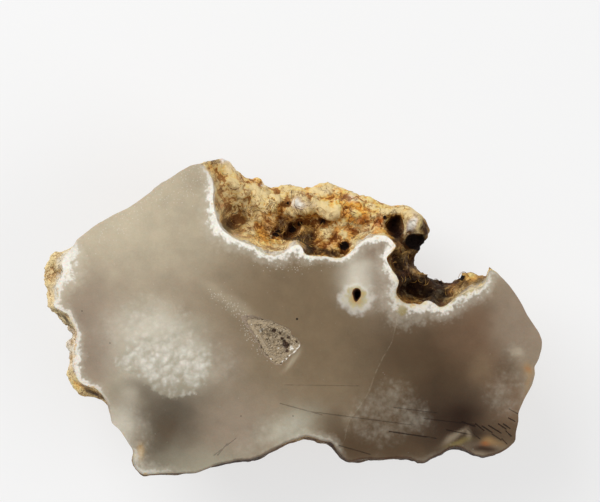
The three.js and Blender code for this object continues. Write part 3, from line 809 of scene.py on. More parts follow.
# A profile is pairs of how much of the mouth's outline is kept and the depth there in mm
pocket_profile = [
    (0.97, 0.12), (0.94, 0.25), (0.9, 0.4), (0.85, 0.65), (0.76, 1.2), (0.64, 1.8), (0.48, 2.4), (0.25, 2.8),
]
tube_profile = [
    (0.92, 0.15), (0.84, 0.4), (0.74, 0.8), (0.62, 1.4), (0.54, 2.4), (0.46, 3.6), (0.34, 4.4), (0.18, 4.9),
]
hollow_plans = {
    "pocket": {
        "mouth": pocket_mouth,
        "deepest": (-2.2, -5.4),
        "depth": 3.0,
        "least": 0.35,
        "ragged": 0.35,
        "profile": pocket_profile,
    },
    "tube": {
        "mouth": tube_mouth,
        "deepest": (12.95, 4.3),
        "depth": 5.0,
        "least": 1.0,
        "ragged": 0.08,
        "profile": tube_profile,
    },
}
fading_end = (-10.5, -5.5)  # the pocket is shallower at its left end, between these places along x, in mm
mouth_step = 0.3 * MM


def finely(outline, step):
    """A closed outline with points no farther apart than a step."""
    points = [place(x, y) for x, y in outline]
    fine = []
    for here, there in zip(points, points[1:] + points[:1]):
        count = max(1, math.ceil((there - here).length / step))
        fine.extend(here.lerp(there, k / count) for k in range(count))
    return fine


def rounded(points, rounds):
    """A closed line whose points have moved to the mean of their neighbours."""
    line = np.array([tuple(point) for point in points])
    for _ in range(rounds):
        line = (line + np.roll(line, 1, 0) + np.roll(line, -1, 0)) / 3
    return line


def ragged_mouth(plan, chance):
    line = rounded(finely(plan["mouth"], mouth_step), 2)
    jitter = np.array([[chance.uniform(-1, 1), chance.uniform(-1, 1)] for _ in line]) * plan["ragged"] * MM
    return line + rounded(jitter, 1)


chance = random.Random(7)
mouths = {name: ragged_mouth(plan, chance) for name, plan in hollow_plans.items()}
print({name: len(line) for name, line in mouths.items()}, "points round the mouths")

# %% [markdown]
# ## The sawn face
#
# The face is flat, but its colour runs in clouds, so it needs points all over: they carry the paint. The
# rim of the cut and the two mouths are fixed lines, and a Delaunay triangulation fills the space between
# them with an even net of points.

# %% Net of points
net_step = 0.5 * MM
clear_of_lines = 0.6


def net_between(lines):
    """Points of an even net inside the stone's box that keep clear of the fixed lines."""
    fixed = tree_of(np.concatenate(lines))
    net = []
    rows = int((stone_high.y - stone_low.y) / (net_step * math.sqrt(0.75))) + 1
    columns = int((stone_high.x - stone_low.x) / net_step) + 1
    for row in range(rows):
        for column in range(columns):
            x = stone_low.x + (column + 0.5 * (row % 2)) * net_step
            y = stone_low.y + row * net_step * math.sqrt(0.75)
            if fixed.find((x, y, 0))[2] > clear_of_lines * net_step:
                net.append((x, y))
    return net


def inside(points, outline):
    """Which points lie inside a closed outline."""
    x, y = points[:, 0], points[:, 1]
    result = np.zeros(len(points), bool)
    for (x0, y0), (x1, y1) in zip(outline, np.roll(outline, -1, 0)):
        if y0 == y1:
            continue
        crosses = ((y0 > y) != (y1 > y)) & (x < x0 + (y - y0) / (y1 - y0) * (x1 - x0))
        result ^= crosses
    return result


body_points = points_of(body_mesh)
rim_line = body_points[rim_numbers][:, :2]
lines = [rim_line, mouths["pocket"], mouths["tube"]]
net = net_between(lines)
flat = [Vector(point) for line in lines for point in line] + [Vector(point) for point in net]
fixed_edges = []
first = 0
for line in lines:
    fixed_edges += [(first + i, first + (i + 1) % len(line)) for i in range(len(line))]
    first += len(line)
filled = geometry.delaunay_2d_cdt(flat, fixed_edges, [], 1, 1e-9)
face_plan = np.array([tuple(point) for point in filled[0]])
face_triangles = np.array(filled[2])
face_came_from = [origins[0] if origins else -1 for origins in filled[3]]
centres = face_plan[face_triangles].mean(1)
in_hollow = inside(centres, mouths["pocket"]) | inside(centres, mouths["tube"])
face_triangles = face_triangles[~in_hollow]
print("face", len(face_triangles), "triangles from", len(flat), "points")

# %% [markdown]
# ## Sewing the stone together
#
# The body's rim, the face and the walls of the hollows share their points, so that the stone is one closed
# solid. Points are collected in one list, and each triangle is noted with its material.


# %% Sewing
class Sewing:
    """Collects points and faces of one mesh, and the material of each face."""

    def __init__(self, points, faces):
        self.points = [tuple(point) for point in points]
        self.faces = list(faces)
        self.kinds = [0] * len(self.faces)

    def point(self, x, y, z):
        self.points.append((x, y, z))
        return len(self.points) - 1

    def face(self, corners, kind):
        self.faces.append(tuple(corners))
        self.kinds.append(kind)


FACE = 1
LININGS = {"pocket": 2, "tube": 3}
upper_rings = 4  # of a hollow's rings, those that count as near its mouth
sewing = Sewing(body_points, [tuple(polygon.vertices) for polygon in body_mesh.polygons])
number_of = {}
mouth_numbers = {"pocket": {}, "tube": {}}
pocket_start = len(rim_numbers)
tube_start = pocket_start + len(mouths["pocket"])
tube_end = tube_start + len(mouths["tube"])
for i in np.unique(face_triangles):
    x, y = face_plan[i]
    origin = face_came_from[i]
    if 0 <= origin < pocket_start:
        number_of[i] = rim_numbers[origin]
        continue
    number_of[i] = sewing.point(x, y, face_level)
    if pocket_start <= origin < tube_start:
        mouth_numbers["pocket"][origin - pocket_start] = number_of[i]
    elif tube_start <= origin < tube_end:
        mouth_numbers["tube"][origin - tube_start] = number_of[i]
for a, b, c in face_triangles:
    pa, pb, pc = face_plan[a], face_plan[b], face_plan[c]
    turn = (pb[0] - pa[0]) * (pc[1] - pa[1]) - (pb[1] - pa[1]) * (pc[0] - pa[0])
    corners = (a, b, c) if turn > 0 else (a, c, b)
    sewing.face([number_of[i] for i in corners], FACE)


# %% Walls of the hollows
def sew_hollow(name):
    """Rings from the mouth of a hollow down to its deepest point. Gives the faces near the mouth."""
    plan = hollow_plans[name]
    mouth = mouths[name]
    deepest = np.array(place(*plan["deepest"]))
    count = len(mouth)
    after = np.roll(mouth, -1, axis=0)
    turn = (mouth[:, 0] * after[:, 1] - after[:, 0] * mouth[:, 1]).sum()
    ring = [mouth_numbers[name][i] for i in range(count)]
    lining = LININGS[name]
    near_mouth = []
    for k, (keep, down_mm) in enumerate(plan["profile"]):
        next_ring = []
        sway = plan["ragged"] * (1 - keep) * MM
        for i in range(count):
            x, y = deepest + (mouth[i] - deepest) * keep
            x += chance.uniform(-sway, sway)
            y += chance.uniform(-sway, sway)
            shallow = plan["least"] + (1 - plan["least"]) * smooth_step(*fading_end, x / MM)
            z = face_level - down_mm * shallow * MM + chance.uniform(-sway, sway) / 2
            next_ring.append(sewing.point(x, y, z))
        for i in range(count):
            j = (i + 1) % count
            corners = (ring[i], ring[j], next_ring[j], next_ring[i])
            sewing.face(corners if turn < 0 else corners[::-1], lining)
        if k < upper_rings:
            near_mouth.extend(sewing.faces[-count:])
        ring = next_ring
    bottom = sewing.point(*deepest, face_level - plan["depth"] * MM)
    for i in range(count):
        corners = (ring[i], ring[(i + 1) % count], bottom)
        sewing.face(corners if turn < 0 else corners[::-1], lining)
    return near_mouth


pocket_sides = sew_hollow("pocket")
sew_hollow("tube")

stone_mesh = bpy.data.meshes.new("agate_stone_finished")
stone_mesh.from_pydata(sewing.points, [], sewing.faces)
for material in (rind_material, face_material, pocket_material, tube_material):
    stone_mesh.materials.append(material)
stone_mesh.polygons.foreach_set("material_index", sewing.kinds)
stone_mesh.polygons.foreach_set("use_smooth", [True] * len(sewing.faces))
stone_mesh.update()

check = bmesh.new()
check.from_mesh(stone_mesh)
open_edges = [edge for edge in check.edges if len(edge.link_faces) != 2]
for edge in check.edges:
    kinds = {face.material_index for face in edge.link_faces}
    steep = {face.normal.z > 0.9 for face in edge.link_faces}
    edge.smooth = len(kinds) == 1 and (FACE not in kinds or len(steep) == 1)
print("open edges", len(open_edges), "volume in cm3", round(check.calc_volume() / MM**3 / 1000, 2))
check.to_mesh(stone_mesh)
check.free()

# %% [markdown]
# ## Paint on the points
#
# Colour in chalcedony is soft: it lies as clouds inside the stone and shows through the polish. Each cloud
# is an ellipse with a soft edge, named for what it is, and they are laid over one another from the broad
# ones to the small ones. The result is kept on the points of the mesh, which are close enough together for
# anything this soft. Crisp marks are left to the material.

# %% Clouds in the chalcedony
# Name, tone, middle in mm, radii in mm, turn in degrees, strength
clouds = [
    ("broad pale upper left", "pale grey", (-40, 20), (33, 24), 20, 1.0),
    ("broad brown middle", "olive brown", (4, 2), (27, 26), -20, 1.0),
    ("broad smoke lower left", "smoke", (-24, -22), (15, 13), 0, 0.65),
    ("broad umber right", "umber", (28, -10), (17, 15), 0, 1.0),
    ("pale band along the bay", "pale grey", (-19, 16), (8, 8), 0, 0.3),
    ("mauve left field", "mauve grey", (-41, -4), (7, 13), 0, 1.0),
    ("darker left edge", "grey brown", (-42, -7), (4, 6), 0, 0.6),
    ("brown upper left edge", "grey brown", (-40, 2), (6, 6), 0, 0.35),
    ("mauve above the white bloom", "mauve grey", (-30, 6), (13, 6), -10, 0.3),
    ("light streak above the pocket", "pale grey", (-13, 3.4), (7.5, 1.3), -32, 0.3),
    ("smoke below the white bloom", "smoke", (-24, -20), (6, 5), 0, 1.0),
    ("smoke lower left corner", "smoke", (-26, -25), (4.5, 6.5), 0, 0.95),
    ("dark streak lower left", "umber", (-25.5, -24), (2.6, 5.5), 10, 0.45),
    ("smoke along the lower left edge", "smoke", (-25.5, -28.5), (3.4, 3.0), 0, 0.4),
    ("mauve bottom", "mauve grey", (-11, -23), (8, 7), 0, 0.85),
    ("mauve between bloom and pocket", "mauve grey", (-14, -8), (4, 7), 0, 0.35),
    ("green milk at the bottom", "green milk", (0, -22), (7, 3.6), 20, 0.9),
    ("milk at the bottom", "milk", (-1, -22.6), (4.5, 2), 20, 0.35),
    ("green milk bottom left", "green milk", (-18, -29.5), (10, 4), 0, 0.85),
    ("pale lower left edge", "milk", (-35.5, -21), (4, 5), -45, 0.6),
    ("grey below the lobe", "green milk", (-34, -14), (4, 3.5), 0, 0.5),
    ("dark bottom middle", "umber", (12, -25), (7, 5), 0, 0.95),
    ("bottom dark band", "umber", (22, -25), (12, 4.5), 0, 0.9),
    ("umber behind the green cloud", "umber", (18, -19), (6, 5), 0, 0.35),
    ("olive right of the fracture", "olive brown", (19, -13), (6, 4), 0, 0.3),
    ("olive left of the fracture", "olive brown", (8, -12), (6, 7), 10, 0.5),
    ("dark right", "dark umber", (33, -21), (10, 7), 0, 1.0),
    ("rosy patch", "rose brown", (36, -2), (7, 7), 0, 0.8),
    ("olive patch on the right", "rose brown", (39, -10), (5, 5), 0, 0.6),
    ("right lobe", "grey brown", (46, -1), (6.5, 10), 10, 0.85),
    ("brown lower right", "rose brown", (44, -19), (5, 6), 0, 0.75),
    ("below the small bay", "grey brown", (30, 2), (10, 3), 20, 0.4),
    ("umber window in the right lobe", "umber", (42.5, -9.5), (2.6, 3.4), 0, 0.5),
    ("olive cloud on the right", "olive brown", (37, -10), (2.6, 3.2), 0, 0.5),
    ("white wisp in the right lobe", "pale grey", (45.2, -6.6), (1.6, 1.0), -30, 0.25),
    ("pinkish light along the pocket", "pale grey", (-0.2, -8.3), (2.8, 0.5), 44, 0.45),
    ("orange spot at the right edge", "tan", (47.4, -11.0), (1.5, 1.1), 40, 0.45),
    ("rust at the right edge", "rust", (47.6, -11.0), (0.7, 0.5), 0, 0.45),
    ("tan along the right edge", "tan", (47.2, -13.4), (0.6, 2.6), -15, 0.3),
    ("umber in the lower right corner", "umber", (42, -23.5), (6, 3.6), 0, 0.8),
    ("tan blob in the lower right corner", "tan", (39.6, -25.5), (2.1, 0.8), 0, 0.5),
    ("rust in the lower right corner", "rust", (38.9, -26.2), (1.1, 0.5), 0, 0.6),
    ("dark edge of the lower right corner", "dark brown", (38.8, -27.2), (3.0, 0.6), 0, 0.9),
    ("umber by the bottom notch", "dark umber", (36.4, -24.2), (2.2, 1.6), -20, 0.6),
    ("pale arc over the bottom notch", "warm grey", (31.4, -24.3), (2.9, 0.7), 28, 0.6),
    ("pale arc right of the notch", "warm grey", (34.5, -24.3), (0.6, 1.3), 20, 0.6),
    ("olive in the bottom notch", "olive", (32.4, -25.8), (2.9, 0.6), 8, 0.6),
    ("dark edge of the bottom notch", "dark umber", (29.0, -27.6), (3.0, 0.5), 25, 0.7),
    ("dark bottom left of the notch", "umber", (20, -27), (7, 2.2), 0, 0.7),
    ("dark foot of the fracture", "umber", (8, -21), (2.4, 3.4), 10, 0.5),
    ("ochre by the bottom left corner", "ochre", (-31.3, -27.2), (1.0, 1.3), 0, 0.5),
    ("white bloom", "milk", (-27, -7), (10.5, 7), -15, 0.7),
    ("white bloom top", "milk", (-29, -1), (7, 3.6), 0, 0.4),
    ("soft lobe of the bloom, top", "milk", (-28.8, -1.5), (3.8, 1.7), 0, 0.6),
    ("soft lobe of the bloom, left", "milk", (-32.3, -4.0), (1.7, 1.3), 0, 0.5),
    ("soft lobe of the bloom, right", "milk", (-19.6, -7.4), (2.8, 2.6), 0, 0.35),
    ("shade between the soft lobes", "green milk", (-25.4, -4.6), (2.6, 0.7), 35, 0.6),
    ("shade left of the soft lobes", "green milk", (-29.4, -4.4), (1.4, 0.6), 0, 0.5),
    ("olive right of the bloom", "green milk", (-19.8, -1.4), (2.4, 2.4), 0, 0.4),
    ("smoke along the bloom's lower edge", "smoke", (-28.4, -15.4), (4.4, 1.5), -35, 0.45),
    ("dark below the bloom's tip", "smoke", (-24.4, -18.2), (2.8, 2.2), 0, 0.6),
    ("white patch by the lower left edge", "milk", (-33.2, -21.2), (2.2, 2.2), 0, 0.4),
    ("white spot below the lobe", "milk", (-32.5, -15.9), (1.6, 1.6), 0, 0.3),
    ("milk at the neck", "grey brown", (17, 8), (6, 7), 0, 0.9),
    ("white above the tube hole", "milk", (13, 7.5), (4.5, 4.5), 0, 0.75),
    ("milk towards the bay", "milk", (12.4, 10.0), (2.4, 1.6), 30, 0.4),
    ("grey window in the neck", "grey brown", (16.1, 13.6), (2.4, 1.4), 25, 0.7),
    ("grey patch right of the tube hole", "grey brown", (17.6, 6.6), (1.8, 3.2), 0, 0.6),
]


def painted(points, ground, layers, shown=1.0):
    """Colours of points: layers of soft ellipses laid over a ground tone, where they are shown."""
    colours = np.tile(np.array(tones[ground]), (len(points), 1))
    for _, tone, middle, radii, turn, strength in layers:
        mask = strength * shown * soft_mask(points, middle, radii, turn)
        colours += mask[:, None] * (np.array(tones[tone]) - colours)
    return colours


# %% [markdown]
# ## Patches of rind
#
# The rind changes too: a cream tongue at the tip of the deep bay, then a brown hollow, a light band, a dark
# net of threads, white and cream lumps, amber folds, a black-brown column beside the pale knob, and nearly
# black hollows in the small bay. The same soft ellipses paint it, on the upper side only.

# %% Patches of rind
rind_patches = [
    # The dark skin along the lower edges is partly the rind's colour and partly painted shade of the walls
    # there
    ("dark skin and shade along the bottom", "dark brown", (-4, -30), (44, 8), 4, 1.0),
    ("dark skin and shade at the bottom right", "dark brown", (34, -28), (18, 5), 0, 1.0),
    ("dark skin and shade at the lower left", "umber", (-37, -24), (8, 8), 0, 0.9),
    ("small bay floor", "dark brown", (29, 9), (11, 8), 20, 1.0),
    ("neck band", "red black", (22.5, 8.5), (3.6, 4.6), 0, 0.9),
    ("dark corner of the neck", "near black", (20.6, 11.5), (1.6, 2.6), 20, 0.7),
    ("tan edge of the neck", "tan", (24.6, 9.2), (2.4, 0.8), -35, 0.55),
    ("black in the small bay", "near black", (28.5, 4.4), (4.0, 2.2), -10, 0.85),
    ("brown threads in the small bay", "golden brown", (32.2, 5.2), (1.2, 1.6), 0, 0.7),
    ("yellow slope of the small bay", "olive cream", (36.6, 5.2), (3.6, 1.1), 27, 0.95),
    ("olive on the yellow slope", "olive", (33.2, 3.8), (1.6, 0.9), 15, 0.8),
    ("cream end of the slope", "cream", (39.2, 7.8), (1.0, 1.2), 0, 0.9),
    ("dark brown behind the slope", "dark brown", (37.4, 7.2), (1.6, 0.6), 25, 0.9),
    ("spongy lump", "ochre", (35.6, 8.0), (1.6, 0.8), 10, 0.9),
    # painted shadow in a hole
    ("shadow in the hole of the spongy lump", "near black", (34.0, 7.8), (0.6, 0.5), 0, 1.0),
    ("light upper left of the bay", "light ochre", (-13.0, 24.5), (4.4, 7.0), 20, 0.95),
    ("light top of the bay", "light ochre", (-3.0, 24.6), (6.0, 1.8), -5, 0.7),
    ("cream tongue at the tip", "cream", (-12.8, 30.2), (1.9, 1.5), -35, 0.9),
    ("white spot at the tip", "chalk", (-14.5, 31.5), (0.9, 0.7), 0, 0.95),
    ("dark edge of the tip", "smoke", (-17.2, 31.0), (2.2, 0.5), 16, 0.9),
    ("golden spots at the tip", "ochre", (-15.1, 29.5), (1.2, 0.9), 0, 0.6),
    ("golden brown band at the tip", "golden brown", (-15.6, 27.4), (0.6, 2.4), 35, 0.7),
    ("streaks at the tip", "light ochre", (-13.3, 27.4), (2.4, 1.5), -35, 0.85),
    ("brown right edge of the tongue", "golden brown", (-10.6, 28.0), (1.5, 0.6), -35, 0.8),
    ("light slope under the tip", "light ochre", (-14.4, 24.6), (1.6, 1.8), 0, 0.8),
    ("brown crease", "brown", (-14.2, 25.9), (2.6, 0.25), -33, 0.7),
    ("pale lump by the crease", "cream", (-11.2, 25.6), (0.7, 0.7), 0, 0.8),
    ("amber by the crease", "amber", (-10.4, 24.7), (1.0, 0.7), -30, 0.8),
    ("bright net", "light ochre", (-6.8, 24.6), (2.6, 2.3), 0, 0.8),
    ("white spot on the skyline", "chalk", (-6.6, 26.8), (0.8, 0.5), 0, 0.8),
    ("light band down the bay", "light ochre", (-9.2, 22.2), (4.4, 1.2), -42, 0.85),
    ("rust spot by the rim", "rust", (-15.1, 22.5), (0.9, 0.9), 0, 0.95),
    ("olive hollow", "olive", (-12.4, 22.0), (1.2, 1.0), 0, 0.6),
    ("dark line of the hollow", "dark brown", (-14.1, 20.9), (0.35, 1.3), 0, 0.7),
    ("brown hollow", "brown", (-12.5, 19.4), (1.9, 1.0), 10, 0.8),
    ("brown foot of the hollow", "brown", (-13.6, 18.4), (0.9, 1.1), 0, 0.8),
    ("red black foot of the hollow", "red black", (-13.1, 17.4), (1.3, 0.7), -30, 0.95),
    ("red edge of the hollow", "rust", (-11.4, 16.4), (1.8, 0.5), -25, 0.85),
    ("cream slope by the rim", "light ochre", (-8.6, 15.4), (2.6, 0.7), -25, 0.8),
    ("tan shoulder", "light ochre", (-10.5, 19.6), (1.2, 0.9), 0, 0.75),
    ("cream triangle by the hollow", "cream", (-8.8, 17.7), (1.2, 1.2), 0, 0.95),
    ("yellow strip by the chalk", "cream", (-15.6, 18.8), (0.6, 2.6), 0, 0.9),
    ("ochre slope", "ochre", (-7.0, 16.6), (1.6, 2.6), 0, 0.8),
    ("amber slope", "amber", (-6.2, 14.8), (1.4, 1.2), 0, 0.6),
    ("brown field of threads", "golden brown", (-5.4, 18.4), (1.2, 1.8), 0, 0.8),
    ("dark net", "brown", (-1.8, 18.2), (3.4, 2.2), -10, 0.9),
    ("tan knots in the net", "light ochre", (-0.8, 20.9), (1.3, 0.9), 0, 0.8),
    ("amber spot over the net", "amber", (-0.4, 21.8), (0.7, 0.5), 0, 0.8),
    ("green cream lump", "olive cream", (-3.1, 23.9), (1.6, 1.3), 0, 0.85),
    ("cream skyline", "olive cream", (-0.8, 25.4), (1.6, 0.9), 0, 0.8),
    ("orange patch below the net", "amber", (-2.6, 15.0), (1.6, 0.6), -10, 0.85),
    ("cream rim of the bay", "cream", (-3.3, 13.7), (1.8, 0.8), -15, 0.85),
    ("white ledge", "chalk", (-0.6, 14.2), (1.5, 0.8), 10, 0.95),
    ("dark diagonal under the net", "red black", (-0.6, 15.9), (2.2, 0.45), -22, 0.85),
    ("dark thatch", "dark brown", (3.0, 16.0), (1.9, 2.8), 10, 0.9),
    ("dark corner by the ledge", "red black", (2.8, 13.6), (1.4, 1.5), 20, 0.95),
    ("dark edge of the ledge", "red black", (1.3, 15.6), (1.6, 0.7), -25, 0.95),
    ("cream round the boss", "cream", (1.4, 22.6), (2.4, 1.6), -10, 0.85),
    ("white boss", "chalk", (0.6, 23.4), (1.2, 0.9), 25, 0.95),
    ("foot of the white boss", "chalk", (1.7, 22.7), (1.0, 0.7), -30, 0.85),
    ("cream shoulder of the boss", "cream", (3.9, 22.6), (1.9, 1.3), -15, 0.9),
    ("amber foot of the boss", "amber", (3.8, 20.7), (2.2, 0.7), 5, 0.75),
    ("cream skyline over the middle", "cream", (6.2, 25.6), (3.0, 1.0), 5, 0.85),
    ("yellow lump", "ochre", (7.5, 24.3), (1.1, 0.8), 0, 0.85),
    ("brown groove", "golden brown", (9.8, 24.0), (0.4, 1.0), 0, 0.8),
    ("white spot on the right skyline", "chalk", (11.7, 23.9), (1.1, 0.9), 0, 0.9),
    ("pale lump", "cream", (7.5, 21.1), (2.0, 1.3), 0, 0.95),
    # painted shadow in a slot
    ("shadow in the slot between the lumps", "red black", (5.9, 19.2), (1.6, 0.5), -5, 1.0),
    ("amber right half of the bay", "amber", (11.5, 20.5), (5.0, 3.6), -10, 0.5),
    ("amber field", "amber", (13.4, 22.0), (3.6, 1.6), 0, 0.8),
    ("yellow in the amber field", "light ochre", (15.6, 22.4), (1.3, 0.7), -10, 0.75),
    ("tan pocket in the field", "tan", (11.6, 20.9), (1.0, 0.7), 0, 0.8),
    ("rust in the field", "rust", (13.5, 19.7), (1.6, 0.6), -5, 0.8),
    ("light ridges", "light ochre", (12.0, 18.6), (2.6, 0.5), -5, 0.8),
    ("rust under the ridges", "rust", (11.9, 17.5), (1.2, 0.5), 0, 0.9),
    ("light amber knob", "light ochre", (16.1, 19.9), (1.2, 1.2), 0, 0.7),
    ("rust by the column", "rust", (17.3, 18.8), (0.9, 1.7), 0, 0.95),
    ("olive yellow over the column", "olive cream", (18.5, 21.7), (1.4, 0.9), 0, 0.9),
    ("cream over the column", "cream", (21.0, 21.4), (1.5, 0.7), -5, 0.85),
    ("black brown column", "red black", (20.6, 18.5), (1.5, 3.0), 5, 1.0),
    ("brown right of the column", "brown", (21.9, 16.4), (0.6, 2.2), 0, 0.9),
    ("cream by the neck", "cream", (14.5, 17.4), (1.6, 0.9), 20, 0.95),
    ("olive cream ledge", "olive cream", (12.6, 16.0), (1.2, 0.8), 20, 0.85),
    ("cream by the black hole", "cream", (11.9, 14.8), (0.7, 1.1), -20, 0.8),
    ("ochre lump", "light ochre", (6.3, 16.9), (1.6, 1.4), 0, 0.85),
    ("second ochre lump", "light ochre", (9.6, 16.6), (1.2, 1.3), 0, 0.85),
    ("brown between the lumps", "golden brown", (8.0, 16.6), (0.5, 1.4), 0, 0.85),
    ("fibrous ochre", "golden brown", (6.6, 14.5), (1.8, 1.0), 0, 0.8),
    # painted shadow in the recess along the rim
    ("shadow along the rim", "red black", (6.8, 12.9), (4.0, 0.9), -8, 0.95),
    ("cream knob", "olive cream", (24.2, 19.2), (2.4, 2.6), 0, 0.9),
    ("white knob", "chalk", (23.7, 18.2), (1.3, 1.9), 10, 0.95),
    ("white top of the knob", "chalk", (24.3, 19.8), (0.8, 0.8), 0, 0.8),
    ("olive side of the knob", "olive", (25.6, 19.2), (0.7, 1.6), 0, 0.85),
    ("cream top of the knob", "cream", (24.4, 21.0), (1.8, 0.7), -15, 0.85),
    ("brown right edge", "dark brown", (26.8, 17.2), (1.1, 2.6), 0, 1.0),
    ("black shadow", "near black", (24.8, 14.8), (2.6, 1.8), 0, 1.0),
    ("brown under the knob", "brown", (21.0, 14.4), (1.2, 0.9), 0, 0.8),
    ("foot of the column", "red black", (20.9, 16.4), (1.5, 1.9), 0, 0.9),
    ("chalk beside the upper lobe", "cream", (-46.9, 9.6), (1.2, 2.2), 0, 0.9),
    ("cream skin of the left lobes", "cream", (-46.5, 2), (6, 18), 0, 1.0),
    ("white on the left lobes", "chalk", (-44.6, -6.5), (1.6, 4.6), 0, 0.8),
    ("pink ledge", "cream", (-46.4, 1.6), (2.4, 0.7), -10, 0.9),
    ("brown pitted patch on the upper lobe", "golden brown", (-48.9, 8.4), (0.7, 1.8), 0, 0.6),
    ("ochre cream on the upper lobe", "cream", (-47.0, 10.4), (1.6, 2.4), 0, 0.9),
    ("dark spot on the upper lobe", "dark brown", (-47.9, 2.6), (0.6, 0.5), 0, 0.8),
    ("dark wedge under the lobe", "dark brown", (-46.0, -0.4), (2.6, 0.8), -42, 0.95),
    ("ochre spots on the lower lobe", "golden brown", (-44.7, -8.0), (0.6, 0.7), 0, 0.8),
    ("upper ochre spot on the lower lobe", "golden brown", (-44.3, -5.2), (0.5, 0.5), 0, 0.8),
    ("lower ochre spot on the lower lobe", "golden brown", (-44.4, -10.8), (0.8, 0.4), 0, 0.8),
    ("yellow ochre on the lower lobe", "ochre", (-43.6, -13.4), (1.6, 1.8), 0, 0.8),
    ("dark foot of the lower lobe", "dark brown", (-40.3, -15.4), (2.8, 0.9), -25, 0.95),
]

# Pits and holes in the rind, painted near black as the shadow in their depth: middle and radius in mm
pit_shadows = [
    ((-3.6, 16.9), 0.8), ((-0.4, 17.7), 0.75), ((1.2, 18.8), 0.5), ((10.3, 14.2), 0.95), ((-1.3, 22.9), 0.4),
    ((24.0, 15.2), 1.4), ((34.0, 7.8), 0.5), ((5.9, 19.2), 0.5), ((18.5, 20.0), 0.4), ((25.6, 14.6), 1.4),
]

# %% [markdown]
# ## The white bloom
#
# Left of the middle, white crystals have grown into a cauliflower inside the chalcedony. Its upper part is
# only a glow, but its lower edge is crisp and lobed. The lobes are discs, and the paint keeps how deep
# inside them each point is, so that the material can break the edge up into curds. It also keeps how high
# each point would lie if its lobe were a ball, and the material paints shade from that: the lobes lighter
# on top and darker at their edges, and painted light on the curds from the upper left. The greenish clouds
# at the right grew the same way, more faintly.

# %% Lobes of the blooms
# Middle and radius in mm
bloom_lobes = [
    (-30.2, -8.3, 2.7), (-27.0, -8.0, 3.2), (-27.2, -11.3, 2.8), (-24.7, -12.8, 2.4), (-23.6, -9.6, 3.2),
    (-20.3, -10.6, 2.7), (-20.2, -12.6, 1.7), (-33.4, -9.0, 1.7), (-25.0, -6.0, 3.0), (-29.0, -4.6, 3.0),
    (-24.2, -14.0, 1.4), (-18.8, -8.0, 2.4), (-21.5, -5.8, 2.2), (-32.3, -4.0, 1.7), (-31.0, -0.9, 2.2),
    (-27.4, -1.6, 2.4), (-24.0, -2.6, 1.9),
]
faint_lobes = [
    (15.5, -21.7, 2.2), (17.8, -19.7, 2.4), (20.6, -15.8, 2.6), (22.4, -19.7, 2.2), (15.4, -18.2, 1.9),
    (13.2, -21.0, 1.8), (17.1, -23.4, 1.6), (24.6, -20.4, 2.0), (41.2, -15.1, 2.2), (42.6, -17.2, 1.8),
    (44.2, -14.2, 2.0), (44.6, -7.4, 1.8), (-5.7, -24.2, 2.6), (-1.6, -22.8, 2.6), (-9.0, -26.0, 1.8),
    (-30.4, -29.0, 2.4), (-33.0, -20.5, 2.4), (-31.4, -23.6, 1.8), (-24.6, -1.0, 3.4), (-29.5, 1.8, 3.0),
    (-35.5, -2.5, 3.2), (-14.8, -9.8, 2.8),
]


def depth_in_lobes(points, lobes, softness=1.2):
    """How deep points lie inside the nearest lobes, in mm, with the lobes run together softly."""
    depths = [radius - np.linalg.norm(points[:, :2] - (x, y), axis=1) for x, y, radius in lobes]
    return softness * np.log(sum(np.exp(depth / softness) for depth in depths))


def heap_of_lobes(points, lobes):
    """How high points lie on the nearest lobe if each were a ball, for the lobes' painted shade: 1 on its top,
    0 at its edge.
    """
    shares = [1 - ((points[:, :2] - (x, y)) ** 2).sum(1) / radius**2 for x, y, radius in lobes]
    return np.sqrt(np.clip(np.max(shares, 0), 0, 1))


# %% [markdown]
# ## The healed fracture
#
# A crack once ran down the right part of the stone and healed. It still shows as a thin pale line, with
# darker chalcedony on its right. The signed distance to a line changes evenly across it, so it can be kept
# on the points, however thin the line is that the material draws from it.

# %% Distances kept on the points
# Where chalk and cream lap over the edge of the cut: middle and radii in mm, turn in degrees, and how much
wrap_zones = [
    ((-15, 22), (5, 10), 25, 1.0), ((-9, 15), (5, 3), -25, 1.0), ((-2, 13.5), (4, 2.5), 0, 1.0),
    ((13.5, 16.4), (3.6, 2.0), 25, 0.9), ((36, 5.8), (4.5, 2.0), 25, 0.5), ((-46, 0), (6, 20), 0, 1.0),
]
fracture = [
    (20.6, -1.0), (19.8, -4.6), (17.7, -8.0), (16.5, -10.7), (14.7, -15.6), (11.1, -20.7), (10.2, -23.9),
]


def signed_distance(points, line):
    """The distance to a line in plan, positive on the right as the line falls."""
    best = np.full(len(points), np.inf)
    signed = np.zeros(len(points))
    for (x0, y0), (x1, y1) in zip(line, line[1:]):
        along = np.array((x1 - x0, y1 - y0))
        offset = points[:, :2] - (x0, y0)
        share = np.clip(offset @ along / (along @ along), 0, 1)
        gap = np.linalg.norm(offset - share[:, None] * along, axis=1)
        side = np.sign(offset[:, 1] * along[0] - offset[:, 0] * along[1])
        closer = gap < best
        best[closer] = gap[closer]
        signed[closer] = (side * gap)[closer]
    return signed


def keep_colour(mesh, name, colours):
    attribute = mesh.attributes.new(name, "FLOAT_COLOR", "POINT")
    attribute.data.foreach_set("color", np.asarray(colours, np.float32).ravel())


gloss_light = 0.01  # what the gloss adds to every tone, in linear light


def neighbours_mean(mesh, values, rounds):
    """Values after rounds of taking the mean of each point's neighbours."""
    ends = np.zeros(len(mesh.edges) * 2, int)
    mesh.edges.foreach_get("vertices", ends)
    ends = ends.reshape(-1, 2)
    here = np.concatenate([ends[:, 0], ends[:, 1]])
    there = np.concatenate([ends[:, 1], ends[:, 0]])
    count = np.maximum(np.bincount(here, minlength=len(values)), 1)[:, None]
    for _ in range(rounds):
        sums = [np.bincount(here, values[there, axis], len(values)) for axis in range(values.shape[1])]
        values = np.stack(sums, 1) / count
    return values


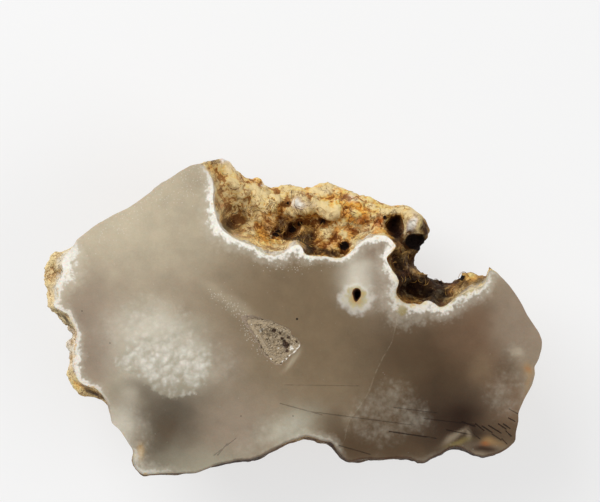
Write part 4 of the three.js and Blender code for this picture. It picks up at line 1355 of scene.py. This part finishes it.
def hollowness(mesh, rounds):
    """How far each point lies below the smoothed surface, in mm: positive in hollows."""
    points = points_of(mesh)
    sunk = ((neighbours_mean(mesh, points, rounds) - points) * normals_of(mesh)).sum(1) / MM
    return neighbours_mean(mesh, sunk[:, None], 1)[:, 0]


cloud_sways = [(7.0, 1.6), (2.5, 0.6)]  # size and reach in mm of what makes the clouds uneven

mesh_points = points_of(stone_mesh)
points_mm = measured(mesh_points)
uneven_mm = wandering(points_mm, *rind_sways)
final_rim_tree = tree_of(rim_line)
final_chalk, final_rind, final_white = round_the_rim(rim_line)
found = [final_rim_tree.find((x, y, 0)) for x, y in mesh_points[:, :2]]
rim_number = np.array([hit[1] for hit in found])
rim_gap = np.array([hit[2] for hit in found]) / MM
down_mm = (face_level - mesh_points[:, 2]) / MM
kept = {
    "edge_mm": rim_gap,
    "chalk_mm": neighbours_mean(stone_mesh, final_chalk[rim_number][:, None], 2)[:, 0],
    "white": neighbours_mean(stone_mesh, final_white[rim_number][:, None], 2)[:, 0],
    "down_mm": down_mm,
    "rind": rind_amount(mesh_points, final_rim_tree, final_rind),
    "fracture_mm": signed_distance(points_mm, fracture),
    "bloom_mm": depth_in_lobes(points_mm, bloom_lobes),
    "bloom_heap": heap_of_lobes(points_mm, bloom_lobes),
    "faint_mm": depth_in_lobes(points_mm, faint_lobes),
    "hollow": hollowness(stone_mesh, 10),
    "deep_hollow": hollowness(stone_mesh, 30),
}
for name, values in kept.items():
    keep_value(stone_mesh, name, values)
tone = painted(wandering(points_mm, *cloud_sways), "warm grey", clouds)
tone *= np.clip(1 - gloss_light / tone[:, :3].mean(1), 0.4, 1)[:, None]
keep_colour(stone_mesh, "tone", tone)
seen_from_above = smooth_step(5, 10, points_mm[:, 2])
keep_value(stone_mesh, "wrapped", np.minimum(zones_cover(points_mm, wrap_zones), 1))
keep_colour(stone_mesh, "rind_tone", painted(uneven_mm, "ochre", rind_patches, seen_from_above))
patch_cover = sum(layer[5] * soft_mask(uneven_mm, *layer[2:5]) for layer in rind_patches)
keep_value(stone_mesh, "patched", np.minimum(patch_cover, 1) * seen_from_above)
pit_shadow_cover = sum(soft_mask(points_mm, middle, (radius, radius), 0) for middle, radius in pit_shadows)
keep_value(stone_mesh, "black_pit", np.minimum(pit_shadow_cover, 1) * seen_from_above)
print("painted", len(points_mm), "points with", len(clouds) + len(rind_patches), "clouds and patches")

# %% [markdown]
# ## The sawn chalcedony
#
# Sawn and lightly polished chalcedony is waxy, not mirror-bright. Its colour comes from the clouds that were
# painted on the points; the material adds everything crisp: the feathery chalk along the rim, the curds of
# the bloom with their painted light and shade, the cream ring round the tube hole, the healed fracture, a
# thin line of painted shade along the rim, saw marks, and small specks.


# %% Material helpers
class MaterialTree(Tree):
    """A material's tree, with its Principled shader and Object coordinates in millimetres."""

    def __init__(self, material):
        material.use_nodes = True
        super().__init__(material.node_tree)
        self.group.nodes.clear()
        position = self.add("ShaderNodeTexCoord").out("Object")
        self.here = self.scaled(position, 1 / MM)
        self.colour = None

    def attribute(self, name, output="Fac"):
        return self.add("ShaderNodeAttribute", {"attribute_name": name}).out(output)

    def lay(self, amount, colour):
        """Lays a tone or another colour over the colour so far."""
        self.colour = self.mix(amount, self.colour, colour)

    def gap(self, x, y):
        """The distance in mm from a measured place, in plan."""
        flat = self.vectors("MULTIPLY", self.here, (1, 1, 0))
        middle = place(x, y) / MM
        return self.vectors("DISTANCE", flat, (middle.x, middle.y, 0)).out("Value")

    def off_line(self, x0, y0, x1, y1):
        """The distance in mm from a straight line between two measured places, in plan."""
        start, end = place(x0, y0) / MM, place(x1, y1) / MM
        along = (end.x - start.x, end.y - start.y, 0)
        flat = self.vectors("MULTIPLY", self.here, (1, 1, 0))
        offset = self.vectors("SUBTRACT", flat, (start.x, start.y, 0))
        share = self.vectors("DOT_PRODUCT", offset, along).out("Value") / ((end - start).length_squared)
        reach = self.scaled(along, self.add("ShaderNodeClamp", {}, [share]))
        return self.vectors("DISTANCE", offset, reach).out("Value")

    def shade(self, roughness, height_mm=None, **constants):
        """The Principled shader in the colour so far, with a bump of a height, and the output."""
        sockets = {"Base Color": self.colour, "Roughness": roughness, **constants}
        if height_mm is not None:
            bump = {"Height": height_mm, "Distance": 1 * MM, "Strength": 1.0}
            sockets["Normal"] = self.add("ShaderNodeBump", {}, bump)
        shader = self.add("ShaderNodeBsdfPrincipled", {}, sockets)
        return self.add("ShaderNodeOutputMaterial", {}, {"Surface": shader})


# %% Sawn chalcedony
specks = [
    (0.6, -0.4, 0.3), (-36.8, -5.2, 0.14), (-42.4, 1.2, 0.15), (-10.6, -19.8, 0.14), (-0.2, -19.8, 0.14),
]
tube_middle = (12.5, 3.9)
# Both ends of each mark of the saw and each scratch, half of its width, and how dark it is
saw_marks = [
    (19.1, -22.9, 28.4, -24.3, 0.1, 0.85), (19.9, -18.1, 28.5, -19.2, 0.08, 0.45),
    (3.0, -18.9, 23.5, -21.6, 0.07, 0.4), (26.0, -20.3, 36.5, -21.6, 0.08, 0.5),
    (9.0, -25.7, 15.2, -27.5, 0.09, 0.55), (33.6, -21.0, 36.2, -21.9, 0.12, 0.9),
    (30.5, -22.6, 35.5, -23.6, 0.09, 0.7), (36.3, -21.4, 38.0, -22.7, 0.11, 0.85),
    (37.6, -21.8, 39.6, -23.1, 0.11, 0.9), (38.9, -21.7, 41.4, -23.2, 0.12, 0.9),
    (40.9, -21.4, 42.4, -22.4, 0.11, 0.9), (41.9, -21.4, 43.2, -22.3, 0.12, 0.9),
    (42.9, -20.2, 44.2, -20.9, 0.11, 0.85), (42.4, -22.8, 43.4, -23.8, 0.11, 0.85),
    (39.6, -23.4, 41.4, -24.6, 0.1, 0.7), (43.0, -18.4, 44.8, -19.4, 0.09, 0.6),
    (41.6, -24.4, 42.6, -25.4, 0.1, 0.7), (34.6, -22.4, 37.2, -24.4, 0.08, 0.6),
]
scratches = [
    (-2.8, -17.3, 5.6, -19.6, 0.07, 0.4), (-16.0, -27.7, -11.6, -24.3, 0.08, 0.35),
    (-15.2, -27.6, -13.4, -25.4, 0.1, 0.4), (-2.0, -13.6, 13.0, -13.8, 0.06, 0.25),
]
# Middle and radii in mm, turn in degrees, and how many light speckles there are, from 0 to 1
speckle_zones = [
    ((-31, 21), (17, 3.5), 33, 0.35), ((-20, 27), (4, 4), 0, 0.35), ((0, 10), (7, 1.6), 0, 0.5),
    ((-8.2, -3.9), (5.6, 1.3), -56, 1.0), ((-13.5, 2.8), (5.0, 1.2), -32, 0.9),
]
bloom_fades = (-9.0, -2.0)  # the bloom fades to a glow between these heights in plan, in mm

# Where the chalk is yellowed: middle and radii in mm, turn in degrees, and how much
yellow_zones = [
    ((34.5, 4.0), (6.5, 5.0), 25, 0.85), ((-5.5, 13.2), (4.6, 2.2), -20, 0.75),
    ((20.3, 7.0), (2.0, 4.0), 0, 0.5), ((-47.0, 5.0), (1.6, 1.6), 0, 0.6), ((12.0, 14.0), (2.0, 1.6), 0, 0.4),
]
keep_value(stone_mesh, "yellowed", np.minimum(zones_cover(points_mm, yellow_zones), 1))
keep_value(stone_mesh, "speckled", np.minimum(zones_cover(points_mm, speckle_zones), 1))


def sawn_chalcedony(material):
    tree = MaterialTree(material)
    here = tree.here
    tone = tree.attribute("tone", "Color")
    fine = tree.noise(here, 0.9, 4.0, 0.6)
    soft = tree.noise(here, 5.0, 3.0)
    warp = tree.noise(here, 2.2, 2.0).out("Color")
    curdled = tree.moved(here, warp, 1.2)
    curd = tree.soft_cells(curdled, 1.5, 0.4)
    small_curd = tree.soft_cells(curdled, 0.65, 0.35)
    towards_light = tree.vectors("ADD", curdled, (-0.3, 0.35, 0.0))
    lit_curd = tree.soft_cells(towards_light, 1.5, 0.4)

    # Slow and fine mottling of the clouds
    grain = tree.noise(here, 0.4, 2.0, 0.7)
    mottle = (soft - 0.5) * 0.4 + (tree.noise(here, 1.8, 3.0) - 0.5) * 0.16 + (grain - 0.5) * 0.2
    tree.colour = tree.scaled(tone, 1 + mottle)

    # The healed fracture: darker on its right, with a pale line
    across = tree.attribute("fracture_mm") + (soft - 0.5) * 0.8
    right = tree.smooth(across, -0.1, 0.35) * (1 - tree.smooth(across, 2.0, 11.0))
    tree.lay(right * 0.4, "umber")
    line = 1 - tree.smooth(across.math("ABSOLUTE"), 0.04, 0.2)
    tree.lay(line * 0.1 * tree.smooth(fine, 0.35, 0.6), "pale grey")

    # The bloom and the faint clouds, broken up into curds
    lumps = tree.noise(here, 2.4, 2.0) - 0.5
    height_mm = tree.add("ShaderNodeSeparateXYZ", {}, [here]).out("Y")
    blurred = tree.smooth(height_mm, *bloom_fades)
    raised = (0.5 - curd) * 1.1 + (0.45 - small_curd) * 0.6 + (fine - 0.5) * 1.4 + lumps * 1.4
    bloom_mm = tree.attribute("bloom_mm") + raised * (0.9 + blurred)
    inside_bloom = tree.smooth(bloom_mm, 0 - 0.2 - blurred * 3.0, 0.5 + blurred * 3.0) * (1 - blurred * 0.6)
    # Painted light and shade on the bloom: lighter on the tops of the lobes and on the sides of the curds that
    # face the upper left, darker between them
    relief = tree.attribute("bloom_heap") * 0.7 + raised * 0.7 + (lit_curd - curd) * 0.9 + lumps
    bloom_light = tree.mix(tree.smooth(relief, -0.3, 2.0), "green milk", "chalk")
    tree.lay(inside_bloom * 0.62, bloom_light)
    faint = tree.smooth(tree.attribute("faint_mm") + raised * 1.4, -2.0, 2.4)
    tree.lay(faint * (0.06 + (raised + 0.3) * 0.14), "milk")

    # Chalk along the rim, feathered into the chalcedony
    feather = (0.5 - curd) * 0.9 + (0.45 - small_curd) * 0.8 + (fine - 0.5) * 1.5 + lumps * 0.9
    from_rim = tree.attribute("edge_mm") / tree.attribute("chalk_mm") - feather * 0.7
    white = tree.attribute("white")
    wide = tree.smooth(tree.attribute("chalk_mm"), 0.3, 1.2)
    glow = (1 - tree.smooth(from_rim, 0.8, 2.2)) * wide
    tree.lay(glow * 0.3, "milk")
    chalk = 1 - tree.smooth(from_rim, 0.4, 1.0)
    near_rind = 1 - tree.smooth(from_rim, -0.1, 0.55)
    chalk_colour = tree.mix(white, "green milk", "chalk")
    chalk_colour = tree.mix(tree.smooth(fine, 0.42, 0.68) * 0.2, chalk_colour, "pale grey")
    creamy = near_rind * tree.smooth(tree.noise(here, 4.0, 2.0), 0.45, 0.6)
    chalk_colour = tree.mix(creamy * 0.7, chalk_colour, "cream")
    stain = near_rind * tree.smooth(tree.noise(here, 1.6, 3.0), 0.56, 0.66)
    chalk_colour = tree.mix(stain * 0.75, chalk_colour, "ochre")
    yellowed = near_rind * tree.attribute("yellowed")
    yellow = tree.mix(tree.smooth(soft, 0.4, 0.6), "olive cream", "olive")
    chalk_colour = tree.mix(yellowed, chalk_colour, yellow)
    tree.lay(chalk * wide * (0.25 + white * 0.7), chalk_colour)

    # Where the rind isn't chalky, a thin dark line runs along the rim: painted shade of the wall just below the
    # edge
    rim_shade_line = 1 - tree.smooth(tree.attribute("edge_mm") + (fine - 0.5) * 0.5, 0.1, 0.5)
    rim_shade_line = rim_shade_line * tree.smooth(tree.attribute("rind"), 0.4, 0.7) * (1 - white)
    tree.lay(rim_shade_line * 0.7, "dark brown")

    olive_spot = 1 - tree.smooth(tree.gap(21.6, 1.4) + (fine - 0.5) * 1.2, 0.5, 1.4)
    tree.lay(olive_spot * 0.75, "olive")

    # The ring round the tube hole
    from_tube = tree.gap(*tube_middle) + (curd - 0.4) * 1.2 + (fine - 0.5) * 1.6 + lumps * 1.2
    halo = 1 - tree.smooth(from_tube + lumps * 2.0, 2.2, 4.2)
    tree.lay(halo * 0.42, "chalk")
    ring = 1 - tree.smooth(from_tube, 1.6, 2.9)
    ring_colour = tree.mix(tree.smooth(fine, 0.3, 0.6) * 0.6, "olive cream", "pale grey")
    tree.lay(ring * 0.95, tree.scaled(ring_colour, 0.68))
    lip = 1 - tree.smooth(from_tube, 0.8, 1.7)
    tree.lay(lip * 0.5, "tan")

    # Saw marks and scratches: thin dark lines that come and go
    marks = 0.0
    for *ends, half_width, darkness in saw_marks + scratches:
        gap = tree.off_line(*ends) + (fine - 0.5) * 0.25
        mark = (1 - tree.smooth(gap, half_width * 0.5, half_width * 1.6)) * darkness
        marks = mark.math("MAXIMUM", marks)
    marks = marks * tree.smooth(soft, 0.25, 0.45)
    tree.lay(marks * 0.9, "near black")

    # Specks and light flecks
    for x, y, radius in specks:
        spot = 1 - tree.smooth(tree.gap(x, y), radius * 0.6, radius)
        tree.lay(spot * 0.9, "near black")
    grains = tree.cells(here, 0.34)
    chosen = tree.smooth(grains.out("Color") + tree.attribute("speckled") * 0.75, 0.9, 1.0)
    fleck = (1 - tree.smooth(grains, 0.15, 0.5)) * chosen
    tree.lay(fleck * 0.26, "chalk")

    roughness = 0.36 + fine * 0.12 + chalk * 0.3
    height = (fine - 0.5) * 0.02 - marks * 0.15 + chalk * (0.5 - small_curd) * 0.12
    waxy = {"Specular IOR Level": 0.12, "Subsurface Weight": 0.12, "Subsurface Scale": 1.5 * MM, "IOR": 1.54}
    tree.shade(roughness, height, **waxy)


sawn_chalcedony(face_material)

# %% [markdown]
# ## The natural rind
#
# Rind is weathered and stained by iron. Its broad colour comes from the painted patches. The material breaks
# every patch up into lumps of two sizes, with painted light on their tops, golden painted shade at their
# sides and dark painted shade in the gaps and hollows, with fine grains, small painted highlights and thin
# dark creases over them. Chalk laps over the edge of the saw cut. Where a piece broke away there is no
# rind, and the chalcedony's own tone shows.


# %% Natural rind
def natural_rind(material):
    tree = MaterialTree(material)
    here = tree.here
    tone = tree.attribute("rind_tone", "Color")
    hollow = tree.attribute("hollow")
    deep = tree.attribute("deep_hollow")
    fine = tree.noise(here, 0.55, 5.0, 0.7)
    soft = tree.noise(here, 2.2, 4.0, 0.6)
    broad = tree.noise(here, 7.0, 3.0)
    plain = 1 - tree.attribute("patched")
    warp = tree.noise(here, 1.6, 2.0).out("Color")
    flowing = tree.moved(here, warp, 3.2)

    # Every tone has a lit form towards cream for painted light, a golden one for painted shade and stains,
    # and a dark one for painted deep shade and creases
    bright = tree.add("ShaderNodeRGBToBW", {}, [tone])
    whitish = tree.smooth(bright, 0.68, 0.78)
    yellowing = tree.smooth(bright, 0.04, 0.3) * (1 - whitish) * 0.5
    light = tree.mix(yellowing, tree.scaled(tone, 1.5), "light ochre")
    golden = tree.vectors("MULTIPLY", tone, (0.82, 0.65, 0.44))
    dark = tree.vectors("MULTIPLY", tone, (0.28, 0.14, 0.07))

    # Stains and mottling, strongest where no patch was painted
    tree.colour = tree.mix(tree.smooth(soft, 0.5, 0.62) * (0.15 + plain * 0.4), tone, "cream")
    tree.lay(tree.smooth(broad, 0.52, 0.7) * plain * 0.6, "rust")
    tree.lay((1 - tree.smooth(soft, 0.36, 0.5)) * 0.5, golden)
    tree.colour = tree.scaled(tree.colour, 0.3 + fine * 1.4)

    # Lumps of two sizes, shaded in paint: painted light on top, golden painted shade at their sides, and dark
    # painted shade in the gaps between them and in deep hollows
    lump = tree.soft_cells(flowing, 2.3, 0.3)
    small_lump = tree.soft_cells(flowing, 0.95, 0.3)
    relief = (0.46 - lump) * 1.3 + (0.46 - small_lump) * 0.8 + (fine - 0.5) * 1.1 - hollow * 1.4
    tree.lay(tree.smooth(relief, 0.0, 0.45) * 0.75, light)
    tree.lay(tree.smooth(0 - relief, 0.05, 0.35) * 0.75, golden)
    tree.lay(tree.smooth(0 - relief, 0.32, 0.52) * 0.85, dark)
    valley_shade = tree.smooth(deep + (soft - 0.5) * 0.8, 0.8, 1.6)
    tree.lay(valley_shade * 0.5, dark)

    # Thin dark creases that flow over the rind
    fold = (tree.noise(flowing, 1.6, 3.0, 0.6) - 0.5).math("ABSOLUTE")
    creases = (1 - tree.smooth(fold, 0.01, 0.045)) * tree.smooth(tree.noise(here, 3.0, 2.0), 0.42, 0.58)
    tree.lay(creases * 0.8, dark)
    # Small painted highlights where the fine noise is highest
    tree.lay(tree.smooth(fine, 0.6, 0.68) * 0.5, light)
    # Near black painted into the pits, as the shadow in their depth
    black = tree.smooth(tree.attribute("black_pit") * (0.6 + soft) + (fine - 0.5) * 0.7, 0.25, 0.5)
    tree.lay(black, "near black")
    tree.colour = tree.scaled(tree.colour, 1 + tree.smooth(bright, 0.02, 0.2) * 0.65)
    lightest = tree.vectors("MAXIMUM", tone, tones["light ochre"][:3])
    tree.colour = tree.vectors("MINIMUM", tree.colour, tree.scaled(lightest, 1.12))

    # Chalk and cream lap over the edge of the saw cut
    chalk_mm = tree.attribute("chalk_mm")
    off_cut = tree.attribute("edge_mm").math("MAXIMUM", tree.attribute("down_mm") * 0.25) / chalk_mm
    off_cut = off_cut + (soft - 0.5) * 1.2 + (fine - 0.5) * 0.5
    lapping = tree.smooth(chalk_mm * tree.attribute("white"), 0.5, 1.2) * tree.attribute("wrapped")
    tree.lay((1 - tree.smooth(off_cut, 0.5, 1.6)) * lapping * 0.45, "light ochre")
    tree.lay((1 - tree.smooth(off_cut, 0.1, 0.5)) * lapping * 0.8, "chalk")

    # Broken chalcedony where there is no rind
    covered = tree.attribute("rind") + (soft - 0.5) * 0.5
    bare = 1 - tree.smooth(covered, 0.35, 0.6)
    bare_colour = tree.mix((fine - 0.3) * 0.6, tree.attribute("tone", "Color"), "smoke")
    bare_colour = tree.mix(tree.smooth(broad, 0.45, 0.65) * 0.4, bare_colour, "olive brown")
    bare_colour = tree.mix(tree.smooth(covered, 0.1, 0.35) * 0.3, bare_colour, "cream")
    tree.lay(bare, bare_colour)

    roughness = 0.6 + (fine - 0.5) * 0.3
    height = ((fine - 0.5) * 0.3 + relief * 0.35 - creases * 0.2) * (1 - bare * 0.85)
    tree.shade(roughness, height, **{"Specular IOR Level": 0.15})


natural_rind(rind_material)

# %% [markdown]
# ## Quartz points in the pocket
#
# The pocket is lined with small quartz crystals: six sides and a pointed end, grown off the wall in every
# direction. One crystal is a cone with six sides on a short prism. Geometry Nodes set hundreds of them on
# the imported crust, each turned and sized by chance, and they join with the crust into one piece.

# %% Druse
druse_material = bpy.data.materials.new("quartz_points")
crust = merged_copy("quartz_druse")
crust_mesh = bpy.data.meshes.new("crust")
crust.to_mesh(crust_mesh)
crust.free()

big_crystals = (-8.0, -3.0)  # the crystals grow larger between these places along x, in mm
highest_growth = face_level - 0.05 * MM  # crystals and fibres stay this far below the sawn face


def with_sides(crust, side_faces):
    """The ground that crystals grow on: the crust and faces of the pocket's wall."""
    crust_points = points_of(crust)
    side_points = sorted({corner for face in side_faces for corner in face})
    number = {corner: len(crust_points) + i for i, corner in enumerate(side_points)}
    points = np.concatenate([crust_points, np.array([sewing.points[corner] for corner in side_points])])
    faces = [tuple(polygon.vertices) for polygon in crust.polygons]
    faces += [tuple(number[corner] for corner in face) for face in side_faces]
    mesh = bpy.data.meshes.new("growing_ground")
    mesh.from_pydata(points.tolist(), [], faces)
    middle = (crust_points[:, 2].min() + crust_points[:, 2].max()) / 2
    keep_value(mesh, "growing", points[:, 2] > middle - 0.4 * MM)
    small = 0.45 + 0.55 * smooth_step(*big_crystals, measured(points)[:, 0])
    keep_value(mesh, "crystal_size", small)
    return mesh


ground_mesh = with_sides(crust_mesh, pocket_sides)


def crystal_mesh():
    """One quartz point a metre wide, standing on the origin, to be scaled down."""
    crystal = bmesh.new()
    around = [(math.cos(math.radians(60 * i)) / 2, math.sin(math.radians(60 * i)) / 2) for i in range(6)]
    bottom = [crystal.verts.new((x, y, -0.4)) for x, y in around]
    shoulder = [crystal.verts.new((x, y, 0.18)) for x, y in around]
    tip = crystal.verts.new((0.05, 0.02, 0.62))
    for i in range(6):
        j = (i + 1) % 6
        crystal.faces.new((bottom[i], bottom[j], shoulder[j], shoulder[i]))
        crystal.faces.new((shoulder[i], shoulder[j], tip))
    crystal.faces.new(bottom[::-1])
    mesh = bpy.data.meshes.new("crystal")
    crystal.to_mesh(mesh)
    crystal.free()
    return mesh


def druse_tree(crystal):
    tree = GeometryTree(
        "grow druse", spacing=0.24 * MM, density=1.6e7, smallest=0.24 * MM, largest=0.68 * MM, seed=5
    )
    spots = tree.scattered("growing")
    one = tree.add("GeometryNodeObjectInfo", {}, {"Object": crystal}).out("Geometry")
    size = tree.random_size() * tree.attribute("crystal_size")
    crystals = tree.copies(spots, one, Rotation=tree.turned(spots, 0.4), Scale=size)
    return tree.finish(crystals, druse_material)


def kept_below_face(mesh, corners_each):
    """Lowers every repeated form of a mesh until its highest corner is below the sawn face."""
    forms = points_of(mesh).reshape(-1, corners_each, 3)
    excess = np.maximum(forms[:, :, 2].max(1) - highest_growth, 0)
    forms[:, :, 2] -= excess[:, None]
    mesh.vertices.foreach_set("co", forms.ravel())
    mesh.update()


crystal = new_object("crystal", crystal_mesh())
crystal_corners = len(crystal.data.vertices)
crystals_mesh = druse_tree(crystal).run(ground_mesh)
drop(crystal)
kept_below_face(crystals_mesh, crystal_corners)
joining = bmesh.new()
joining.from_mesh(crystals_mesh)
joining.from_mesh(crust_mesh)
druse_mesh = bpy.data.meshes.new("quartz_points")
joining.to_mesh(druse_mesh)
joining.free()
druse_mesh.materials.append(druse_material)
druse = new_object("quartz_points", druse_mesh)
print("druse", len(druse_mesh.polygons), "faces")


# %% Quartz
# Middle and radius in mm. The pits are holes among the crystals, painted dark brown as the shade in them
shaded_pocket_pits = [
    (-1.6, -5.6, 0.65), (-4.0, -2.7, 0.4), (-2.8, -3.3, 0.25), (-2.4, -4.3, 0.3), (-1.1, -4.1, 0.3),
    (-0.1, -3.6, 0.3), (0.5, -4.9, 0.25), (-1.4, -6.8, 0.35), (-1.9, -4.9, 0.25),
]
glints = [
    (-0.5, -6.2, 0.45), (1.2, -5.9, 0.3), (0.8, -6.5, 0.4), (0.2, -7.1, 0.4), (-0.6, -7.8, 0.4),
    (-1.4, -8.5, 0.4), (-2.2, -9.2, 0.4), (-6.7, -2.8, 0.25), (-6.2, -2.4, 0.2), (-10.0, 0.3, 0.3),
    (-5.6, -6.2, 0.2), (-3.2, -6.3, 0.2), (-4.6, -8.4, 0.2), (-7.4, -3.8, 0.2), (-8.6, -1.4, 0.2),
]


def spotted(points, spots):
    """1 in the middle of any of some round spots, 0 outside them."""
    return np.minimum(sum(soft_mask(points, (x, y), (r, r), 0) for x, y, r in spots), 1)


druse_mm = measured(points_of(druse_mesh))
keep_value(druse_mesh, "pit", spotted(druse_mm, shaded_pocket_pits))
keep_value(druse_mesh, "glint", spotted(druse_mm, glints))


def quartz_points(material):
    tree = MaterialTree(material)
    each = tree.noise(tree.here, 0.5, 1.0)
    ragged = 0.2 + tree.noise(tree.here, 0.4, 3.0) * 1.6
    tree.colour = tree.mix(tree.smooth(each, 0.3, 0.7), "pocket tan", "warm grey")
    tree.lay(tree.smooth(tree.attribute("glint") * ragged, 0.15, 0.7) * 0.8, "chalk")
    # Painted shade: dark brown where the pits are
    pit = tree.smooth(tree.attribute("pit") * ragged, 0.2, 0.5)
    tree.lay(pit * 0.92, "dark brown")
    tree.shade(0.35, **{"Specular IOR Level": 0.25, "IOR": 1.54})


quartz_points(druse_material)


def hollow_wall(material, light, dark, fading_mm):
    """The wall of a hollow, painted darker the deeper it goes, as the shade inside it grows."""
    tree = MaterialTree(material)
    fine = tree.noise(tree.here, 0.5, 4.0)
    sunk = tree.smooth(tree.attribute("down_mm"), 0.0, fading_mm)
    tree.colour = tree.scaled(tree.mix(sunk, light, dark), 0.7 + fine * 0.6)
    tree.shade(0.7, fine * 0.1)


hollow_wall(pocket_material, "grey brown", "olive brown", 0.8)
hollow_wall(tube_material, "golden brown", "dark brown", 0.5)

# %% [markdown]
# ## Fibres in the rind
#
# Fine threads cross the rind in the bays, some dark with iron, some pale. Each is a short arc that leaves
# the rind and comes back to it. They could be hair, but the part has to be a plain mesh, so Geometry Nodes
# sweep one arc into a thin tube and scatter it, turned by chance, where the rind is fibrous.

# %% Fibres
fibre_material = bpy.data.materials.new("rind_fibres")
# Middle and radii in mm, turn in degrees, and how dense the fibres are
fibre_zones = [
    ((-1.5, 19.5), (5.0, 4.2), -20, 1.0), ((1.6, 15.6), (3.0, 3.4), 20, 1.0),
    ((13.5, 20.5), (6.0, 3.2), 0, 0.5), ((-9.0, 22.0), (6.0, 4.5), -35, 0.4),
    ((29.0, 7.0), (9.0, 5.0), 20, 0.45), ((-12.9, 19.5), (2.4, 2.4), 0, 0.5),
    ((22.5, 9.5), (3.0, 4.5), 0, 0.2), ((8.0, 17.5), (5.0, 3.5), 0, 0.35),
]
fibre_depth = (0.8, 1.6)  # fibres begin this far below the face, in mm


def fibre_tree():
    tree = GeometryTree(
        "scatter fibres",
        spacing=0.45 * MM,
        density=1.1e6,
        length=1.0 * MM,
        height=0.3 * MM,
        thickness=0.034 * MM,
        smallest=0.6,
        largest=1.7,
        steps=8,
        sides=4,
        seed=11,
    )
    spots = tree.scattered("fibrous")
    length, height = tree.size("length"), tree.size("height")
    foot = 0 - height * 0.5
    corners = [(0 - length, 0.0, foot), (0.0, height * 4.0, height * 2.0), (length, 0.0, foot)]
    bend = {"Resolution": tree.size("steps")}
    for end, (x, y, z) in zip(("Start", "Middle", "End"), corners):
        bend[end] = tree.add("ShaderNodeCombineXYZ", {}, {"X": x, "Y": y, "Z": z})
    arc = tree.add("GeometryNodeCurveQuadraticBezier", {}, bend)
    ring = {"Resolution": tree.size("sides"), "Radius": tree.size("thickness")}
    section = tree.add("GeometryNodeCurvePrimitiveCircle", {}, ring)
    tube = {"Curve": arc, "Profile Curve": section, "Fill Caps": True}
    thread = tree.add("GeometryNodeCurveToMesh", {}, tube)
    threads = tree.copies(spots, thread, Rotation=tree.turned(spots, 0.2), Scale=tree.random_size())
    return tree.finish(threads, fibre_material)


fibrous = zones_cover(points_mm, fibre_zones)
fibrous *= seen_from_above * smooth_step(*fibre_depth, down_mm)
fibrous *= smooth_step(0.15, 0.5, normals_of(stone_mesh)[:, 2])
keep_value(stone_mesh, "fibrous", np.minimum(fibrous, 1))
fibre_mesh = fibre_tree().run(stone_mesh)
fibre_points = points_of(fibre_mesh)
fibre_points[:, 2] = np.minimum(fibre_points[:, 2], highest_growth)
fibre_mesh.vertices.foreach_set("co", fibre_points.ravel())
fibre_mesh.update()
fibres = new_object("rind_fibres", fibre_mesh)
print("fibres", len(fibre_mesh.polygons), "faces")


def rind_fibres(material):
    tree = MaterialTree(material)
    patch = tree.smooth(tree.noise(tree.here, 1.4, 2.0), 0.46, 0.6)
    tree.colour = tree.mix(patch, "brown", "ochre")
    tree.shade(0.45, **{"Specular IOR Level": 0.4})


rind_fibres(fibre_material)

# %% [markdown]
# ## Pieces and bodies
#
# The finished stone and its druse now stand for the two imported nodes. Nothing moves on a stone, so both
# ride on the one body.

# %% Pieces
stone = new_object("finished_stone", stone_mesh)
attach(stone, "root")
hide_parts("agate_stone")
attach(druse, "root")
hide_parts("quartz_druse")
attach(fibres, "root")

# %% [markdown]
# ## Floor and light
#
# The stone lies on a light table, the usual ground for a picture without shadows: a plain pale sheet that
# glows a little. The rest of the light comes evenly from all round, with two broad soft lamps at the sides,
# so that the lumps in the bays get a light and a shaded side and the polished face reflects none of them.

# %% Floor and light
floor_half = 0.6
floor_mesh = bpy.data.meshes.new("floor")
corners = [(-1, -1), (1, -1), (1, 1), (-1, 1)]
floor_mesh.from_pydata([(x * floor_half, y * floor_half, 0) for x, y in corners], [], [(0, 1, 2, 3)])
floor = new_object("floor", floor_mesh)
floor_material = bpy.data.materials.new("pale_floor")
floor_mesh.materials.append(floor_material)
floor_tree = MaterialTree(floor_material)
paper = floor_tree.noise(floor_tree.here, 40.0, 2.0)
floor_tree.colour = floor_tree.mix(paper * 0.1, (0.25, 0.25, 0.25, 1), (0.24, 0.24, 0.24, 1))
floor_tree.shade(0.9, **{"Emission Color": (1.0, 1.0, 1.0, 1.0), "Emission Strength": 0.62})


def area_light(name, direction, size, power, distance=0.8):
    """A square lamp that shines on the stone from a direction."""
    light = bpy.data.objects.new(name, bpy.data.lights.new(name, "AREA"))
    bpy.context.scene.collection.objects.link(light)
    light.data.size = size
    light.data.energy = power
    aim = Vector(direction).normalized()
    light.location = aim * distance
    light.rotation_euler = aim.to_track_quat("Z", "Y").to_euler()
    return light


area_light("key", (-0.7, 0.8, 1.0), 0.6, 5.8)
area_light("fill", (1.0, -0.3, 0.9), 0.6, 2.6)
world = bpy.data.worlds.new("studio")
world.use_nodes = True
world.node_tree.nodes["Background"].inputs["Color"].default_value = (1.0, 1.0, 1.0, 1.0)
world.node_tree.nodes["Background"].inputs["Strength"].default_value = 0.36
bpy.context.scene.world = world
bpy.context.scene.view_settings.view_transform = "Standard"

# %% Sizes
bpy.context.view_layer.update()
for piece in (stone, druse, fibres):
    print(piece.name, sum(len(polygon.vertices) - 2 for polygon in piece.data.polygons), "triangles")
